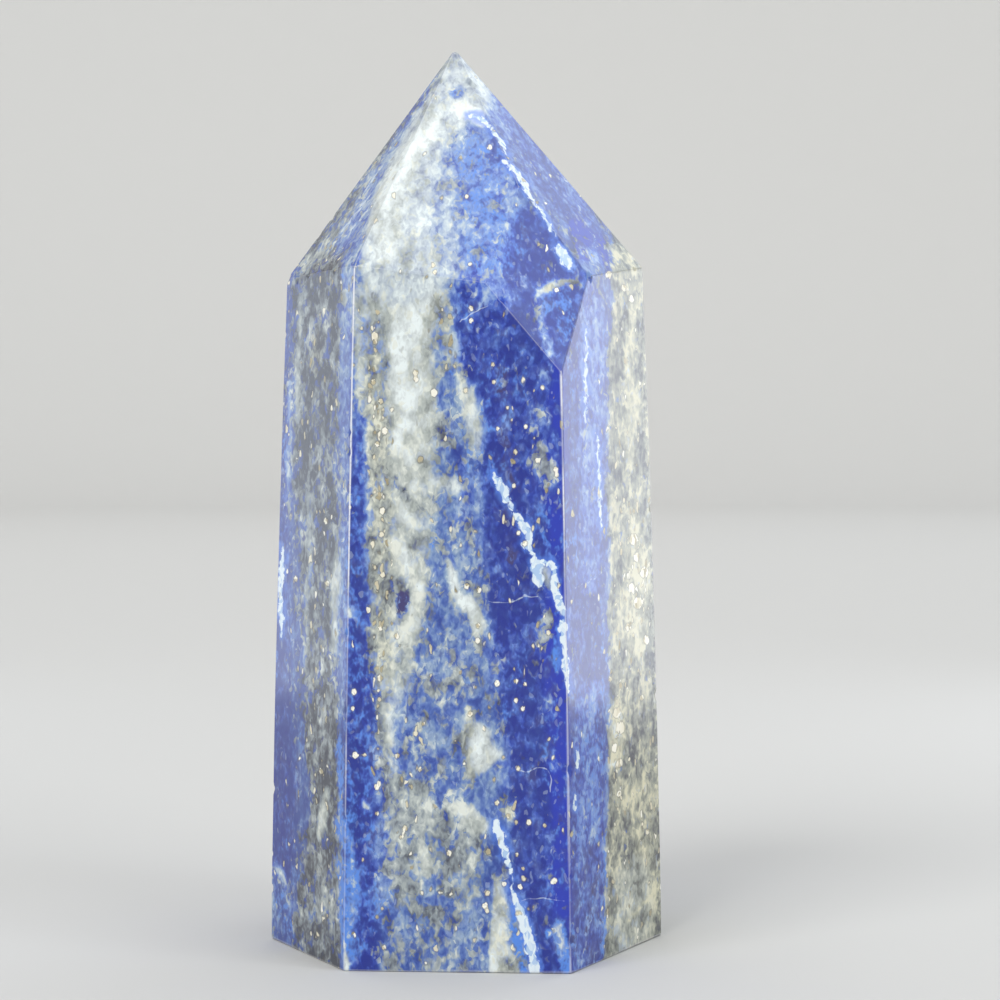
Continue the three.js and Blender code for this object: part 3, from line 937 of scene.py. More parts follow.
# The bluish white veins, beaded and broken, of the front and of the back.
VEINS: Paths = (
    ((2.7, 47.2, 0.05), (2.9, 46.8, 0.16), (3.3, 46.1, 0.42), (3.8, 45.2, 0.44), (4.2, 44.5, 0.2),
     (4.5, 43.8, 0.12)),
    ((4.7, 43.3, 0.34), (5.2, 42.8, 0.24), (5.7, 42, 0.44), (6, 41.2, 0.34), (6.2, 40.6, 0.12)),
    ((5.6, 40.5, 0.34), (6.1, 40.2, 0.24), (6.4, 39.4, 0.1), (6.6, 38.7, 0.42), (7.1, 38.7, 0.3),
     (7.7, 38.8, 0.2), (8.3, 38.4, 0.24)),
    ((6.6, 38.3, 0.5), (6.8, 37.6, 0.62), (7.1, 36.9, 0.42)),
    ((8.4, 37.8, 0.2), (8.3, 36.6, 0.36), (8.6, 35.7, 0.4), (9, 34.8, 0.34), (9.2, 33.9, 0.14)),
    ((9.2, 33.4, 0.26), (9.15, 32.5, 0.34), (9.3, 31.2, 0.22), (9.45, 30.2, 0.2), (9.35, 29.2, 0.32),
     (9.5, 28.2, 0.2), (9.7, 26.6, 0.06)),
    ((2.9, 14.2, 0.34), (3.2, 13.2, 0.42), (3.6, 12, 0.3), (3.9, 11, 0.3), (4.2, 10.2, 0.2),
     (4.4, 9.2, 0.08), (4.4, 8.2, 0.1), (4.8, 7, 0.2), (5.2, 6, 0.42), (5.7, 4.8, 0.46), (6, 3.6, 0.36),
     (6.2, 2.2, 0.5), (6.5, 0.8, 0.42), (6.6, 0, 0.4)),
    ((0.6, 82.4, 0.2), (1.5, 81.8, 0.28), (2.5, 80.8, 0.14), (3.3, 79.6, 0.2), (4.1, 78, 0.06)),
    ((3.7, 77.6, 0.1), (4.5, 76.7, 0.26), (5.6, 75.3, 0.28), (6.3, 74, 0.12), (7.5, 72, 0.15),
     (8.6, 70, 0.1)),
    ((8.9, 69, 0.2), (9.3, 68.3, 0.42), (9.7, 67.5, 0.5), (9.9, 67.1, 0.3)),
    ((-18.2, 39.6, 0.1), (-18.4, 37.4, 0.3), (-18.5, 34.6, 0.24), (-18.4, 32.6, 0.3), (-18.4, 30.6, 0.08)),
    ((10.5, 20.8, 0.1), (10.6, 19.4, 0.16)),
    ((10.3, 16.8, 0.08), (10.3, 15.4, 0.14)),
    ((11.5, 61, 0.08), (11.5, 57, 0.12), (11.4, 52, 0.07)),
    ((12.5, 51, 0.06), (12.8, 46, 0.14), (13, 42, 0.06)),
)
BACK_VEINS: Paths = (
    ((7.6, 63, 0.08), (7, 58.5, 0.28), (6.4, 52, 0.12), (6.2, 49, 0.05)),
    ((5.6, 44, 0.16), (5, 40.5, 0.42), (5.4, 37.5, 0.24), (6.2, 33, 0.34), (6, 30, 0.06)),
    ((4.8, 21.5, 0.1), (4.2, 18, 0.44), (3.8, 13, 0.2), (3.4, 9.5, 0.06)),
    ((3, 6.5, 0.14), (3.3, 3, 0.36), (3.4, 0, 0.3)),
    ((-9, 30, 0.15), (-6, 24, 0.3), (-5, 18, 0.2)),
)

# Hair-thin pale cracks.
CRACKS: Paths = (
    ((2.2, 35, 0.03), (4.5, 35, 0.05), (5.6, 35.6, 0.05), (6.8, 35.6, 0.02)),
    ((4.9, 19.2, 0.01), (6, 19.1, 0.03), (7, 19.5, 0.03), (7.7, 19.3, 0.01), (8.1, 18, 0.05),
     (8, 17.2, 0.03)),
    ((5, 6.9, 0.01), (7.4, 7.2, 0.02), (9.9, 6.8, 0.01)),
    ((-0.5, 61.5, 0.02), (0.8, 62.4, 0.04), (2.2, 63, 0.02)),
    ((10.4, 36.3, 0.05), (12, 36.8, 0.06), (13, 37.5, 0.04)),
    ((-10.6, 74.2, 0.06), (-9.2, 76.2, 0.1), (-8.2, 77.6, 0.06)),
    ((-12.4, 70.6, 0.06), (-10.6, 72.8, 0.12), (-9.2, 74.6, 0.08)),
    ((-11.8, 70, 0.05), (-10.2, 72, 0.07), (-8.5, 73.5, 0.05)),
)
BACK_CRACKS: Paths = (
    ((-2, 50, 0.05), (3, 48, 0.07), (8, 49, 0.05)),
)

# The larger pyrite crystals, all on the front: x, z and radius.
CRYSTALS: tuple[Triple, ...] = (
    (-4.6, 56.7, 0.26), (-4.6, 56.1, 0.22), (-2.9, 54.8, 0.28), (-7.5, 51.2, 0.24), (0.1, 55, 0.2),
    (2.6, 57.5, 0.18), (2.7, 55.8, 0.16), (4, 53.4, 0.14), (3.1, 51.4, 0.14), (4.7, 49.2, 0.22),
    (5.7, 51.6, 0.14), (8.5, 47.6, 0.18), (8.6, 47, 0.14), (4.6, 46, 0.16), (7.3, 55.3, 0.16),
    (3, 27.4, 0.22), (4.7, 27.6, 0.18), (5.6, 27.3, 0.14), (4.8, 25.8, 0.18), (5.4, 25, 0.14),
    (0.5, 24.5, 0.2), (-6.3, 20.5, 0.22), (-4.6, 22.6, 0.22), (-3.9, 23.5, 0.18), (-4.2, 19.2, 0.2),
    (-8.3, 17.5, 0.22), (-8.3, 15, 0.18), (-5.6, 13.6, 0.24), (-6, 12.8, 0.16), (3, 16.1, 0.2),
    (4.1, 14.9, 0.2), (4.8, 14.3, 0.2), (6, 14.3, 0.2), (7.5, 14, 0.18), (2.2, 11.5, 0.3),
    (-1.5, 11.3, 0.22), (3.7, 8.5, 0.18), (2.1, 7.6, 0.24), (1.9, 6.4, 0.22), (2.1, 5.9, 0.18),
    (-8.3, 5.2, 0.2), (-7.8, 6, 0.16), (-7.7, 2.3, 0.2), (-10.4, 26.5, 0.2), (-10.5, 24.9, 0.16),
    (-10.3, 20.5, 0.22), (-9.4, 20.5, 0.16), (2.3, 78.9, 0.2), (0.1, 73.8, 0.18), (-8.5, 60.2, 0.28),
    (-8.5, 59.6, 0.22), (-8.6, 55.8, 0.24), (-7.9, 54, 0.24), (-8.2, 50, 0.2), (-8, 45.2, 0.22),
    (-7.7, 43.6, 0.26), (-7.8, 41.4, 0.2), (-7.7, 37.6, 0.22), (-7.9, 32.6, 0.2), (-6.4, 31.8, 0.22),
    (-7.9, 27.8, 0.26), (-8, 25.8, 0.2), (0.2, 36.6, 0.24), (1.3, 36.2, 0.2), (1.2, 32.8, 0.2),
    (1.2, 31.4, 0.18), (5, 41.6, 0.16), (5.6, 40.6, 0.2), (7.8, 32.2, 0.2), (8.3, 20.4, 0.16),
    (8.4, 8.8, 0.22), (5.2, 8.2, 0.18), (3.6, 20.4, 0.16), (-1.4, 62, 0.24), (0.6, 62.8, 0.2),
    (0.6, 61.6, 0.16), (14, 66.5, 0.3), (15.6, 65.4, 0.26), (16.4, 64.4, 0.28), (16.4, 40.4, 0.44),
    (16.8, 38.6, 0.36), (17.6, 37, 0.42), (16.2, 35.6, 0.34), (16.9, 34, 0.46), (15.8, 31.8, 0.3),
    (17.8, 30.2, 0.36), (14.6, 23.6, 0.38), (15.1, 22, 0.44), (14.4, 20.2, 0.3), (14.9, 18.6, 0.34),
    (13.9, 27, 0.22), (17.3, 24.5, 0.24), (14.9, 15.6, 0.22), (18, 11, 0.22), (-13.3, 42.5, 0.24),
    (-13.2, 36.5, 0.2), (-16.7, 36.5, 0.24), (-13.8, 18.3, 0.24), (4.9, 11.2, 0.16), (5, 19.4, 0.2),
    (1, 27, 0.16),
)


@dataclass(frozen=True)
class Layer:
    """Soft upright layers of a mineral, there before anything listed is placed."""

    mineral: Mineral  # what they hold
    mean: float  # what they add to its share on average
    spread: float  # how much that differs from layer to layer
    cell: Triple  # size of their swells along X, Y and Z, in mm


@dataclass
class Composition:
    """Where each mineral lies in the stone, from listed bands, streaks, veins and crystals."""

    # below all that is placed; each has the next seed
    layers: tuple[Layer, ...] = (
        Layer(Mineral.CALCITE, 0.3, 0.5, (3.4, 7.0, 22.0)),
        Layer(Mineral.CALCITE, 0.0, 0.35, (2.2, 4.0, 6.0)),
        Layer(Mineral.MATRIX, 0.25, 0.4, (2.8, 5.0, 14.0)),
        Layer(Mineral.PYRITE, 0.04, 0.06, (3.0, 5.0, 12.0)),
        Layer(Mineral.ROYAL, 0.4, 0.5, (3.0, 6.0, 14.0)),
    )
    azure_cell: Triple = (2.6, 4.0, 7.0)  # swells of the noise that brings out pale blue patches
    azure: Limits = (0.5, 0.85)  # its values between which they set in
    azure_share: float = 0.3  # share of pale blue in them
    # shares that are the same all over
    even: tuple[tuple[Mineral, float], ...] = ((Mineral.VIOLET, 0.08), (Mineral.OCHRE, 0.1))
    bend: float = 0.7  # how far borders are shaken sideways in all
    bend_cell: Triple = (1.6, 3.0, 3.4)  # swells of that
    lift: float = 0.8  # how far borders are shaken up and down in all
    lift_cell: Triple = (1.8, 3.0, 2.6)  # swells of that
    seam: Limits = (1.0, 3.6)  # Y between which the front gives way to the back
    seam_wave: float = 1.6  # how far that is shaken in all
    seam_cell: Triple = (4.0, 4.0, 8.0)  # swells of that
    lines_to: float = -0.4  # veins and cracks of the front show where Y is under this
    lines_from: float = 3.0  # and those of the back where it is over this
    crystals_to: float = 1.0  # crystals show where Y is under this
    vein_sway: float = 0.08  # how far a vein leaves its path
    crack_sway: float = 0.06  # and a hair crack
    crystal_corners: int = 6  # corners of a large crystal
    crystal_shake: float = 0.35  # how far each is turned at most, in radians
    squash: float = 0.8  # width of the crystals beside their height
    seed: int = 41

    def __post_init__(self) -> None:
        """Shakes the veins and cracks, and gives each crystal its corners."""
        rng = np.random.default_rng(self.seed + 20)
        self.vein_lines = self.lines(VEINS, BACK_VEINS, self.vein_sway, rng)
        self.crack_lines = self.lines(CRACKS, BACK_CRACKS, self.crack_sway, rng)
        self.crystal_marks: list[Mark] = []
        count = self.crystal_corners
        for x, z, radius in CRYSTALS:
            self.crystal_marks.append((x, z, Side.FRONT))
            turns = np.sort(rng.uniform(-self.crystal_shake, self.crystal_shake, count))
            turns = turns + np.arange(count) * 2.0 * math.pi / count
            for turn in turns + rng.uniform(0.0, 1.0):
                edge = (x + radius * math.cos(turn), z + radius / self.squash * math.sin(turn))
                self.crystal_marks.append((*edge, Side.FRONT))

    def marks(self) -> list[Mark]:
        """Every place that the mesh gives a point of its own."""
        lines = [mark for vein in self.vein_lines + self.crack_lines for mark in vein.marks()]
        return self.crystal_marks + lines

    def streaks(self) -> list[Streak]:
        """All streaks of the stone.

        Returns:
            The streaks, in the order in which they are laid over each other.
        """
        front = (MIDDLE, LOWER_MASS, UPPER_BAND, ROYAL_ZONE, CROWN, LEFT_FACES, RIGHT_FACES)
        return [*itertools.chain(*front), *(replace(row, side=Side.BACK) for row in BACK)]

    def lines(self, front: Paths, back: Paths, sway: float, rng: np.random.Generator) -> list[Vein]:
        """Veins with a shaky course.

        Args:
            front: their paths on the front.
            back: and on the back.
            sway: how far they leave them, in mm.
            rng: source of the shakes.

        Returns:
            The veins.
        """
        plain = [Vein(path) for path in front] + [Vein(path, Side.BACK) for path in back]
        return [vein.uneven(rng, sway) for vein in plain]

    def base(self, points: Array) -> dict[Mineral, Array]:
        """The minerals before anything listed is placed: soft upright layers.

        Args:
            points: n by 3, in mm.

        Returns:
            Each mineral's share at each point.
        """
        fields = {mineral: np.zeros(len(points)) for mineral in Mineral}
        for number, layer in enumerate(self.layers):
            swell = Drift(self.seed + number, layer.cell).at(points) - 0.5
            fields[layer.mineral] += layer.mean + layer.spread * swell
        patches = Drift(self.seed + len(self.layers), self.azure_cell).at(points)
        fields[Mineral.SKY] = self.azure_share * smooth(*self.azure, patches)
        for mineral, share in self.even:
            fields[mineral] += share
        return fields

    def shares(self, points: Array) -> dict[Mineral, Array]:
        """Each mineral's share at each point, with the listed streaks laid in order.

        Args:
            points: n by 3, in mm.

        Returns:
            Shares from 0 to 1.
        """
        fields = self.base(points)
        front = self.front(points)
        x = points[:, 0] + (Drift(self.seed + 6, self.bend_cell).at(points) - 0.5) * self.bend
        z = points[:, 2] + (Drift(self.seed + 7, self.lift_cell).at(points) - 0.5) * self.lift
        for placed in self.streaks():
            gap, half = along(placed.path, x, z)
            here = front if placed.side is Side.FRONT else 1.0 - front
            mask = smooth(-placed.soft / 2, placed.soft / 2, half - gap) * here
            for mineral, level in placed.levels.items():
                fields[mineral] = fields[mineral] * (1.0 - mask) + level * mask
        return {mineral: np.clip(share, 0.0, 1.0) for mineral, share in fields.items()}

    def front(self, points: Array) -> Array:
        """1 on the front half of the stone, 0 on the back, with a ragged change between them."""
        ragged = Drift(self.seed + 8, self.seam_cell).at(points) - 0.5
        return smooth(*self.seam[::-1], points[:, 1] + self.seam_wave * ragged)

    def inside_lines(self, points: Array, veins: list[Vein], far: float = 2.0) -> Array:
        """How far inside the nearest vein each point lies.

        Args:
            points: n by 3, in mm.
            veins: the veins.
            far: all points further outside than this, in mm, count alike.

        Returns:
            n depths in mm, below 0 outside.
        """
        deepest = np.full(len(points), -far)
        for vein in veins:
            gap, half = along(vein.path, points[:, 0], points[:, 2])
            on_front, on_back = points[:, 1] < self.lines_to, points[:, 1] > self.lines_from
            facing = on_front if vein.side is Side.FRONT else on_back
            deepest = np.where(facing, np.maximum(deepest, half - gap), deepest)
        return deepest

    def inside_crystals(self, points: Array, far: float = 1.0) -> Array:
        """How far inside the nearest large crystal each point lies.

        Args:
            points: n by 3, in mm.
            far: all points further outside than this, in mm, count alike.

        Returns:
            n depths in mm, below 0 outside.
        """
        deepest = np.full(len(points), -far)
        facing = points[:, 1] < self.crystals_to
        for x, z, radius in CRYSTALS:
            gap = np.hypot(points[:, 0] - x, (points[:, 2] - z) * self.squash)
            deepest = np.where(facing, np.maximum(deepest, radius - gap), deepest)
        return deepest


# ------------------------------------------------------------------ node work

Value = Any  # an output socket to link, or a plain number, vector or colour to set

COLOUR_MIX_INPUTS = (0, 6, 7)  # the share and the two colours of a mix node set to colour
COLOUR_MIX_RESULT = 2
NOISE_LIMITS = (0.26, 0.74)  # nearly all of the noise node's values lie between these
NOISE_ROUGH = 0.55  # strength of each finer layer of noise beside the one before

Step = tuple[float, ...]  # where a soft step begins and ends, and its results there if not 0 and 1


@dataclass(frozen=True)
class Tone:
    """A colour as it is read off a screen."""

    red: float
    green: float
    blue: float

    def linear(self) -> tuple[float, float, float, float]:
        """The same colour as light, by the usual screen curve.

        Returns:
            Red, green and blue from 0 to 1, and full opacity.
        """
        parts = [c / 255.0 for c in (self.red, self.green, self.blue)]
        curved = [p / 12.92 if p < 0.04045 else ((p + 0.055) / 1.055) ** 2.4 for p in parts]
        return curved[0], curved[1], curved[2], 1.0


Stops = tuple[tuple[float, Tone], ...]


def stops(*rows: tuple[float, float, float, float]) -> Stops:
    """The stops of a colour ramp from rows of place, red, green and blue."""
    return tuple((place, Tone(red, green, blue)) for place, red, green, blue in rows)


@dataclass
class Bench:
    """Places nodes in one tree and links them."""

    tree: bpy.types.NodeTree

    def add(self, kind: str, **settings: Any) -> bpy.types.Node:
        """A new node.

        Args:
            kind: its type.
            settings: its own settings by name.

        Returns:
            The node.
        """
        node = self.tree.nodes.new(kind)
        for name, value in settings.items():
            setattr(node, name, value)
        return node

    def put(self, socket: bpy.types.NodeSocket, value: Value) -> None:
        """Links a value to an input if it is a socket, and otherwise sets it.

        Args:
            socket: the input.
            value: what goes there; None leaves it as it is.
        """
        if isinstance(value, bpy.types.NodeSocket):
            self.tree.links.new(value, socket)
        elif value is not None:
            socket.default_value = value

    def fill(self, node: bpy.types.Node, *values: Value) -> None:
        """Gives a node's inputs their values in order."""
        for socket, value in zip(node.inputs, values):
            self.put(socket, value)

    def feed(self, node: bpy.types.Node, **values: Value) -> bpy.types.Node:
        """Gives a node's inputs their values by name.

        Args:
            node: the node.
            values: what goes to each named input.

        Returns:
            The same node.
        """
        for label, value in values.items():
            self.put(node.inputs[label], value)
        return node

    def use(self, tree: bpy.types.NodeTree, **values: Value) -> bpy.types.Node:
        """A node that stands for a group, with its inputs given by name."""
        return self.feed(self.add("ShaderNodeGroup", node_tree=tree), **values)

    def math(self, operation: str, *values: Value, clamp: bool = False) -> Value:
        """One sum on numbers.

        Args:
            operation: such as ADD or MULTIPLY.
            values: the numbers that it takes, in order.
            clamp: whether the result is held between 0 and 1.

        Returns:
            The result.
        """
        node = self.add("ShaderNodeMath", operation=operation, use_clamp=clamp)
        self.fill(node, *values)
        return node.outputs[0]

    def product(self, a: Value, b: Value) -> Value:
        """One number times another."""
        return self.math("MULTIPLY", a, b)

    def blend(self, value: Value, weight: Value, start: Value, clamp: bool = False) -> Value:
        """A start, and to it a value times its weight."""
        return self.math("MULTIPLY_ADD", value, weight, start, clamp=clamp)

    def centred(self, value: Value) -> Value:
        """A value from 0 to 1 made to lie about 0."""
        return self.math("SUBTRACT", value, 0.5)

    def vector(self, operation: str, a: Value, b: Value = None, scale: Value = None) -> Value:
        """One sum on vectors.

        Args:
            operation: such as ADD or SCALE.
            a: first vector.
            b: second vector, if it takes one.
            scale: a number, if it takes one.

        Returns:
            The result.
        """
        node = self.add("ShaderNodeVectorMath", operation=operation)
        self.fill(node, a, b, None, scale)
        return node.outputs[0]

    def step(self, value: Value, low: Value, high: Value, start: float = 0.0, end: float = 1.0) -> Value:
        """A soft step.

        Args:
            value: what is looked at.
            low: where the step begins.
            high: where it ends.
            start: result at low and beyond it.
            end: result at high and beyond it.

        Returns:
            The result.
        """
        node = self.add("ShaderNodeMapRange", interpolation_type="SMOOTHSTEP")
        self.fill(node, value, low, high, start, end)
        return node.outputs["Result"]

    def mix(self, share: Value, a: Value, b: Value, blend: str = "MIX") -> Value:
        """Two colours mixed.

        Args:
            share: how much of the second.
            a: first colour.
            b: second colour.
            blend: the way of mixing.

        Returns:
            The mixed colour.
        """
        node = self.add("ShaderNodeMix", data_type="RGBA", blend_type=blend)
        for number, value in zip(COLOUR_MIX_INPUTS, (share, a, b)):
            self.put(node.inputs[number], value.linear() if isinstance(value, Tone) else value)
        return node.outputs[COLOUR_MIX_RESULT]

    def ramp(self, value: Value, tones: Stops) -> Value:
        """A colour ramp.

        Args:
            value: place on the ramp, 0 to 1.
            tones: the ramp's stops.

        Returns:
            The colour there.
        """
        node = self.add("ShaderNodeValToRGB")
        self.fill(node, value)
        elements = node.color_ramp.elements
        while len(elements) < len(tones):
            elements.new(0.5)
        for element, (place, tone) in zip(elements, tones):
            element.position = place
            element.color = tone.linear()
        return node.outputs["Color"]

    def noise(self, place: Value, size: float, detail: float = 0.0) -> Value:
        """Noise stretched to run from about 0 to 1.

        Args:
            place: coordinates in mm.
            size: size of its swells, in mm.
            detail: how many finer layers it has.

        Returns:
            The noise.
        """
        node = self.add("ShaderNodeTexNoise", noise_dimensions="3D")
        self.feed(node, Vector=place, Scale=1.0 / size, Detail=detail, Roughness=NOISE_ROUGH)
        stretched = self.add("ShaderNodeMapRange", clamp=True)
        self.fill(stretched, node.outputs[0], *NOISE_LIMITS, 0.0, 1.0)
        return stretched.outputs["Result"]

    def parts(self, colour: Value) -> bpy.types.NodeOutputs:
        """The three numbers of a colour.

        Args:
            colour: the colour.

        Returns:
            Red, green and blue.
        """
        split = self.add("ShaderNodeSeparateColor")
        self.fill(split, colour)
        return split.outputs

    def share(self, name: str) -> Value:
        """A number stored on the mesh."""
        return self.add("ShaderNodeAttribute", attribute_name=name).outputs["Fac"]


def group(name: str, inputs: dict[str, str], outputs: dict[str, str]) -> tuple[Bench, Any, Any]:
    """A new shader node group with named sockets.

    Args:
        name: the group's name.
        inputs: kind of each input socket by name.
        outputs: kind of each output socket by name.

    Returns:
        The bench to work at, and the group's input and output nodes.
    """
    tree = bpy.data.node_groups.new(name, "ShaderNodeTree")
    for direction, sockets in (("INPUT", inputs), ("OUTPUT", outputs)):
        for label, kind in sockets.items():
            tree.interface.new_socket(label, in_out=direction, socket_type="NodeSocket" + kind)
    bench = Bench(tree)
    return bench, bench.add("NodeGroupInput"), bench.add("NodeGroupOutput")


@dataclass
class GrainGroups:
    """The shared node groups: speckle, mineral colour and pyrite."""

    # The kinds of speckle, each with its size in mm. The first two rows are smooth noise. The last
    # is flat inside each small crystal. All but the first row follow the shaken place.
    STRAIGHT = {"Patch": 3.0, "Grain": 0.2}
    SHAKEN = {"Blotch": 1.2, "Mottle": 0.5}
    CELLS = {"Block": 0.34, "Wide": 0.8}
    SPECKLE = (*STRAIGHT, *SHAKEN, *CELLS)

    # How the place is shaken: swells in a millimetre, and how far in all, in mm.
    SHAKE_PACE = 1.4
    SHAKE = 0.8

    # Where each colour sets in, and how pale the grain may be for it.
    PUREST_STEP: Step = (0.82, 1.0, 0.0, 0.9)
    PUREST_PALE: Step = (0.55, 0.0)
    CHALK_STEP: Step = (0.5, 0.78)
    DUSK_STEP: Step = (0.1, 0.9)
    DUSK_PALE: Step = (0.6, 0.25)
    AZURE_STEP: Step = (0.25, 0.9)
    AZURE_PALE: Step = (0.8, 0.5)
    ROCK_STEP: Step = (0.36, 0.7)

    # The blue from dark to pale, where it is cloudy and where it is deep, and its other shades.
    CLOUDY = stops(
        (0.0, 58, 84, 156), (0.22, 82, 110, 172), (0.42, 116, 142, 186), (0.6, 150, 170, 194),
        (0.8, 186, 200, 208), (1.0, 222, 232, 232),
    )
    DEEP = stops(
        (0.0, 34, 50, 142), (0.16, 46, 68, 168), (0.34, 72, 102, 200), (0.54, 122, 152, 220),
        (0.78, 180, 202, 228), (1.0, 224, 236, 240),
    )
    PUREST = Tone(42, 62, 188)
    DUSK = Tone(66, 62, 112)
    AZURE = Tone(86, 138, 226)

    # White calcite, and grey rock with its ochre tint.
    CHALK = stops(
        (0.2, 130, 136, 134), (0.45, 170, 177, 176), (0.62, 194, 202, 202), (0.8, 213, 221, 221),
        (1.0, 232, 241, 241),
    )
    ROCK = stops(
        (0.0, 64, 66, 64), (0.2, 98, 102, 100), (0.42, 136, 144, 144), (0.66, 174, 182, 180),
        (0.95, 224, 229, 222),
    )
    STRAW = Tone(255, 243, 210)
    ROCK_COVER = 0.88  # how far rock hides the blue
    ROCK_SHADE = (0.16, 0.7)  # how pale rock is without calcite, and what full calcite adds
    ROCK_COARSE = (1.0, 0.25, -0.6)  # how uneven it is, and what full ochre and full calcite add

    # Small pyrite grains: their width beside their height, and the least radius and what is added
    # to it at most, in cells. Then how far inside its border a grain and its rim begin and are full.
    GRAIN_SQUASH = (1.0, 1.0, 0.8)
    GRAIN_RADIUS = (0.24, 0.24)
    GRAIN_STEP: Step = (-0.06, 0.06)
    RIM_STEP: Step = (-0.3, -0.02)

    # Large crystals: the same depths in mm, how ragged their border is in mm, and how far their colour moves
    # towards the painted glint.
    CRYSTAL_STEP: Step = (0.02, 0.1)
    CRYSTAL_RIM: Step = (-0.08, 0.05)
    CRYSTAL_RAGGED = 0.12
    CRYSTAL_GLINT = 0.12

    speckle: bpy.types.NodeTree | None = None
    colour: bpy.types.NodeTree | None = None
    pyrite: bpy.types.NodeTree | None = None

    def build(self) -> None:
        """Makes every group once."""
        self.speckle = self.speckle_group()
        self.colour = self.colour_group()
        self.pyrite = self.pyrite_group()

    def speckle_group(self) -> bpy.types.NodeTree:
        """Several sizes of grain through the stone, drawn out a little along its layers.

        Returns:
            The group. Bent is the place, shaken a little; the others are the kinds of speckle.
        """
        bench, given, made = group(
            "Lapis speckle",
            {"Place": "Vector", "Stretch": "Float"},
            {"Bent": "Vector", **{name: "Float" for name in self.SPECKLE}},
        )
        parts = bench.add("ShaderNodeSeparateXYZ")
        bench.fill(parts, given.outputs["Place"])
        x, y, z = parts.outputs
        stretch = given.outputs["Stretch"]
        drawn = bench.add("ShaderNodeCombineXYZ")
        bench.fill(drawn, x, bench.math("DIVIDE", y, stretch), bench.math("DIVIDE", z, stretch))
        place = drawn.outputs[0]
        wobble = bench.feed(bench.add("ShaderNodeTexNoise"), Vector=place, Scale=self.SHAKE_PACE, Detail=1.0)
        shift = bench.vector("SUBTRACT", wobble.outputs["Color"], (0.5, 0.5, 0.5))
        bent = bench.vector("ADD", place, bench.vector("SCALE", shift, scale=self.SHAKE))
        bench.put(made.inputs["Bent"], bent)
        for start, sizes in ((place, self.STRAIGHT), (bent, self.SHAKEN)):
            for name, size in sizes.items():
                bench.put(made.inputs[name], bench.noise(start, size))
        for name, size in self.CELLS.items():
            cell = bench.add("ShaderNodeTexVoronoi", voronoi_dimensions="3D", feature="F1")
            bench.feed(cell, Vector=bent, Scale=1.0 / size)
            bench.put(made.inputs[name], bench.parts(cell.outputs["Color"])[0])
        return bench.tree

    def colour_group(self) -> bpy.types.NodeTree:
        """Turns mineral shares and speckle into colour.

        Returns:
            The group. Grey says how much of the grain is rock.
        """
        shares = {m.value.title(): "Float" for m in Mineral if m is not Mineral.PYRITE}
        bench, given, made = group(
            "Lapis minerals",
            {**shares, **{name: "Float" for name in self.SPECKLE}},
            {"Color": "Color", "Grey": "Float"},
        )
        take = given.outputs
        grain = {name: bench.centred(take[name]) for name in self.SPECKLE}
        blue = self.blue_tone(bench, take, grain)
        rock = self.rock_tone(bench, take, grain)
        grey = self.weigh(bench, take["Matrix"], grain, Wide=0.34, Blotch=-0.4, Mottle=0.3, Block=0.4)
        grey = bench.step(grey, *self.ROCK_STEP)
        bench.put(made.inputs["Color"], bench.mix(bench.product(grey, self.ROCK_COVER), blue, rock))
        bench.put(made.inputs["Grey"], grey)
        return bench.tree

    def blue_tone(self, bench: Bench, take: Any, grain: dict[str, Value]) -> Value:
        """Colour of the blue and of the white calcite in it.

        Args:
            bench: where to work.
            take: the group's inputs.
            grain: the speckle, each kind lying about 0.

        Returns:
            The colour.
        """
        pale = self.weigh(
            bench, take["Calcite"], grain,
            Patch=0.14, Blotch=0.28, Mottle=0.28, Block=0.2, Wide=0.16, Grain=0.1,
        )
        deep = self.weigh(bench, take["Royal"], grain, Blotch=-0.3, Mottle=-0.3, Block=0.25)
        deep = bench.math("MAXIMUM", 0.0, deep, clamp=True)
        tone = bench.mix(deep, bench.ramp(pale, self.CLOUDY), bench.ramp(pale, self.DEEP))
        cloud = self.weigh(bench, pale, grain, Blotch=0.3, Patch=0.3)
        purest = bench.step(take["Royal"], *self.PUREST_STEP)
        purest = bench.product(purest, bench.step(cloud, *self.PUREST_PALE))
        tone = bench.mix(purest, tone, self.PUREST)
        chalk = bench.step(take["Calcite"], *self.CHALK_STEP)
        tone = bench.mix(chalk, tone, bench.ramp(pale, self.CHALK))
        dusk = self.weigh(bench, take["Violet"], grain, Wide=0.5, Blotch=0.5)
        dusk = bench.step(dusk, *self.DUSK_STEP)
        tone = bench.mix(bench.product(dusk, bench.step(pale, *self.DUSK_PALE)), tone, self.DUSK)
        azure = self.weigh(bench, take["Sky"], grain, Grain=0.3, Mottle=0.5, Blotch=0.3)
        azure = bench.step(azure, *self.AZURE_STEP)
        return bench.mix(bench.product(azure, bench.step(pale, *self.AZURE_PALE)), tone, self.AZURE)

    def rock_tone(self, bench: Bench, take: Any, grain: dict[str, Value]) -> Value:
        """Colour of the grey rock, paler and smoother with calcite, warmer with ochre.

        Args:
            bench: where to work.
            take: the group's inputs.
            grain: the speckle, each kind lying about 0.

        Returns:
            The colour.
        """
        bare, with_ochre, with_calcite = self.ROCK_COARSE
        coarse = bench.blend(take["Ochre"], with_ochre, bare)
        coarse = bench.blend(take["Calcite"], with_calcite, coarse)
        plain, paler = self.ROCK_SHADE
        shade = bench.blend(take["Calcite"], paler, plain)
        uneven = self.weigh(
            bench, 0.0, grain, Block=0.22, Wide=0.36, Mottle=0.4, Blotch=0.5, Patch=0.4, Grain=0.14
        )
        shade = bench.blend(uneven, coarse, shade)
        rock = bench.ramp(shade, self.ROCK)
        return bench.mix(take["Ochre"], rock, bench.mix(1.0, rock, self.STRAW, "MULTIPLY"))

